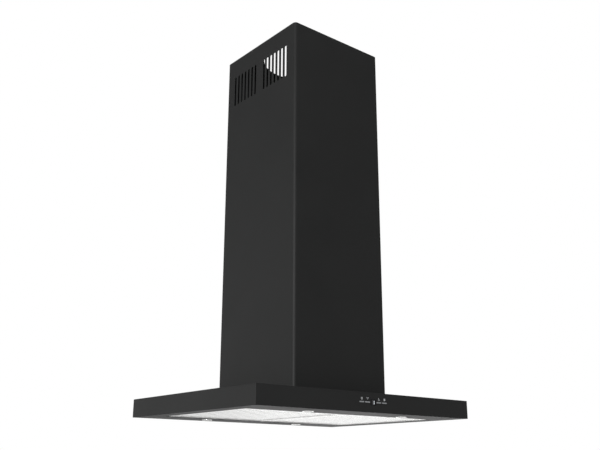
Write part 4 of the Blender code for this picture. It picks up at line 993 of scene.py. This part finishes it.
def make_rear_screws():
    """Pan-head screws with a cross recess, facing the rear."""
    for number in range(1, SCREWS + 1):
        name = "rear_panel_screw_%d" % number
        low, high, middle = low_high(name)
        length = high.y - low.y
        neck = length - SCREW_HEAD_HEIGHT
        profile = [(SCREW_SHANK, 0.0), (SCREW_SHANK, neck), (SCREW_HEAD, neck),
                   (SCREW_HEAD, length - 0.0014), (SCREW_HEAD - 0.0003, length - 0.0007),
                   (SCREW_HEAD - 0.0010, length - 0.0002), (SCREW_HEAD - 0.0022, length)]
        screw = lathe(name + "_pan", profile, 48, closed=False)
        arm, half = CROSS_ARM, CROSS_WIDTH / 2
        corner = [(arm, -half), (arm, half), (half, half)]
        outline = [point for quarters in range(4) for point in turned(corner, quarters)]
        cross = bmesh.new()
        add_prism(cross, outline, 2 * CROSS_DEPTH,
                  lambda u, v, w: (u, v, length - CROSS_DEPTH + w))
        cutter = bare("cross", cross)
        cut(screw, cutter)
        soften(screw, SCREW_EDGE)
        baked(screw, [cutter])
        turn = Matrix.Rotation(-pi / 2, 4, "X")
        screw.data.transform(Matrix.Translation((middle.x, low.y, middle.z)) @ turn)
        dress(screw, "bright_metal", "hood", name)


# ---- CAD nodes that stay ------------------------------------------------------------------

def smooth_group():
    """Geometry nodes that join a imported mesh's split points and smooth its shallow edges."""
    tree = bpy.data.node_groups.new("smooth_shallow_edges", "GeometryNodeTree")
    for flow in ("INPUT", "OUTPUT"):
        tree.interface.new_socket("Geometry", in_out=flow, socket_type="NodeSocketGeometry")
    entry = tree.nodes.new("NodeGroupInput")
    leave = tree.nodes.new("NodeGroupOutput")
    plain = tree.nodes.new("GeometryNodeRemoveAttribute")
    plain.inputs["Name"].default_value = "custom_normal"
    merge = tree.nodes.new("GeometryNodeMergeByDistance")
    merge.inputs["Distance"].default_value = 0.00001
    faces = tree.nodes.new("GeometryNodeSetShadeSmooth")
    faces.domain = "FACE"
    faces.inputs["Shade Smooth"].default_value = True
    angle = tree.nodes.new("GeometryNodeInputMeshEdgeAngle")
    sharp = tree.nodes.new("FunctionNodeCompare")
    sharp.operation = "GREATER_THAN"
    sharp.inputs["B"].default_value = SMOOTH_ANGLE
    edges = tree.nodes.new("GeometryNodeSetShadeSmooth")
    edges.domain = "EDGE"
    edges.inputs["Shade Smooth"].default_value = False
    link = tree.links.new
    link(entry.outputs[0], plain.inputs["Geometry"])
    link(plain.outputs["Geometry"], merge.inputs["Geometry"])
    link(merge.outputs["Geometry"], faces.inputs["Geometry"])
    link(faces.outputs["Geometry"], edges.inputs["Geometry"])
    link(angle.outputs["Unsigned Angle"], sharp.inputs["A"])
    link(sharp.outputs["Result"], edges.inputs["Selection"])
    link(edges.outputs["Geometry"], leave.inputs[0])
    return tree


def dress_nodes():
    """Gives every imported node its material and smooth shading."""
    group = smooth_group()
    for name, obj in NODES.items():
        for slot in obj.material_slots:
            slot.material = LOOKS[SLOT_OF[name]]
        step = obj.modifiers.new("smooth", "NODES")
        step.node_group = group


# ---- Stage --------------------------------------------------------------------------------

HORIZON_LIGHT = 0.62            # light of the surroundings at the horizon
TOP_LIGHT = 0.06                # and overhead
LEFT_LOW = 2.8                  # added on the left, low down
LEFT_HIGH = 0.0                 # and higher up
TOP_RISE = (0.0, 0.50)          # heights between which the light changes to the overhead one
LEFT_RISE = (0.06, 0.34)        # and the left's from low to high
LEFT_SPREAD = (-0.15, -0.75)
SUN_ENERGY = 1.6
SUN_ANGLE = radians(100)
BEND_LIGHT_PLACE = (-4.3, -3.1, -0.5)       # it lights the cover's near bend
BEND_LIGHT_TARGET = (0, 0, -0.9)
BEND_LIGHT_SIZE = (0.7, 2.2)
BEND_LIGHT_POWER = 330
FLOOR_Z = -4.2
FLOOR_HALF = 60.0
FLOOR_GLOW = 1.0                # painted light that the floor gives off where it is brightest
GLOW_FRONT = 0.35
# painted pools of light: the floor's glow round the hood, by direction; GLOW_FRONT is the glow between them
GLOW_STOPS = ((0.50, 0.4), (0.60, 1.0), (0.645, 1.0), (0.672, 0.2), (0.75, 0.3))
GLOW_START = (4.0, 14.0)        # the painted glow grows between these distances from the hood, so the floor under the hood is darker, a painted shade


def make_floor():
    bm = bmesh.new()
    bmesh.ops.create_grid(bm, x_segments=1, y_segments=1, size=FLOOR_HALF)
    bmesh.ops.translate(bm, vec=(0, 0, FLOOR_Z), verts=bm.verts)
    floor = bare("floor", bm)
    # A pale matte floor whose emission paints light on it in pools by direction, with a painted shade under the
    # hood
    made, tree, shader = surface("floor_with_painted_glow", roughness=0.9)
    tone = mixed(tree, noise(tree, 0.6, 2), (0.84, 0.84, 0.84), (0.88, 0.88, 0.88))
    turn = add(tree, "TexGradient", {"Vector": stretched(tree)}, gradient_type="RADIAL")
    glow = add(tree, "ValToRGB", {"Fac": turn.outputs["Fac"]})
    stops = glow.color_ramp.elements
    for stop in (stops[0], stops[1]):
        stop.color = (GLOW_FRONT, GLOW_FRONT, GLOW_FRONT, 1)
    for position, level in GLOW_STOPS:
        stops.new(position).color = (level, level, level, 1)
    away = add(tree, "VectorMath", {0: stretched(tree)}, operation="LENGTH").outputs["Value"]
    strength = mapped(tree, away, 0.0, FLOOR_GLOW, *GLOW_START)
    connect(tree, shader, base_color=tone, emission_color=glow.outputs["Color"],
            emission_strength=strength)
    floor.data.materials.append(made)


def make_world():
    """A white backdrop that lights the hood softly: dim above, brighter at the horizon's left."""
    world = bpy.data.worlds.new("studio")
    bpy.context.scene.world = world
    world.use_nodes = True
    tree = world.node_tree
    tree.nodes.clear()
    facing = add(tree, "TexCoord").outputs["Generated"]
    parts = add(tree, "SeparateXYZ", {"Vector": facing}).outputs
    rise = mapped(tree, parts["Z"], HORIZON_LIGHT, TOP_LIGHT, *TOP_RISE)
    left = mapped(tree, parts["X"], 0.0, 1.0, *LEFT_SPREAD)
    side = mapped(tree, parts["Z"], LEFT_LOW, LEFT_HIGH, *LEFT_RISE)
    gain = add(tree, "Math", {0: left, 1: side}, operation="MULTIPLY").outputs[0]
    level = add(tree, "Math", {0: rise, 1: gain}, operation="ADD").outputs[0]
    soft = add(tree, "Background", {"Color": (1, 1, 1, 1), "Strength": level})
    white = add(tree, "Background", {"Color": (1, 1, 1, 1), "Strength": 1.0})
    seen = add(tree, "LightPath").outputs["Is Camera Ray"]
    both = add(tree, "MixShader", {0: seen, 1: soft.outputs[0], 2: white.outputs[0]})
    add(tree, "OutputWorld", {"Surface": both.outputs[0]})


def area_light(name, place, target, size, power):
    data = bpy.data.lights.new(name, "AREA")
    data.shape = "RECTANGLE"
    data.size, data.size_y = size
    data.energy = power
    made = bpy.data.objects.new(name, data)
    made.location = place
    made.rotation_euler = (Vector(target) - Vector(place)).to_track_quat("-Z", "Y").to_euler()
    bpy.context.scene.collection.objects.link(made)


def make_lights():
    sun = bpy.data.lights.new("overhead", "SUN")
    sun.energy = SUN_ENERGY
    sun.angle = SUN_ANGLE
    made = bpy.data.objects.new("overhead", sun)
    bpy.context.scene.collection.objects.link(made)
    area_light("bend_box", BEND_LIGHT_PLACE, BEND_LIGHT_TARGET, BEND_LIGHT_SIZE,
               BEND_LIGHT_POWER)


bpy.context.scene.view_settings.view_transform = "Standard"
make_camera()
make_world()
make_lights()
make_floor()
dress_nodes()
make_cover()
make_canopy()
make_bottom_panel()
make_filter("left")
make_filter("right")
make_lamps()
make_buttons()
make_marks()
make_display()
make_rear_screws()
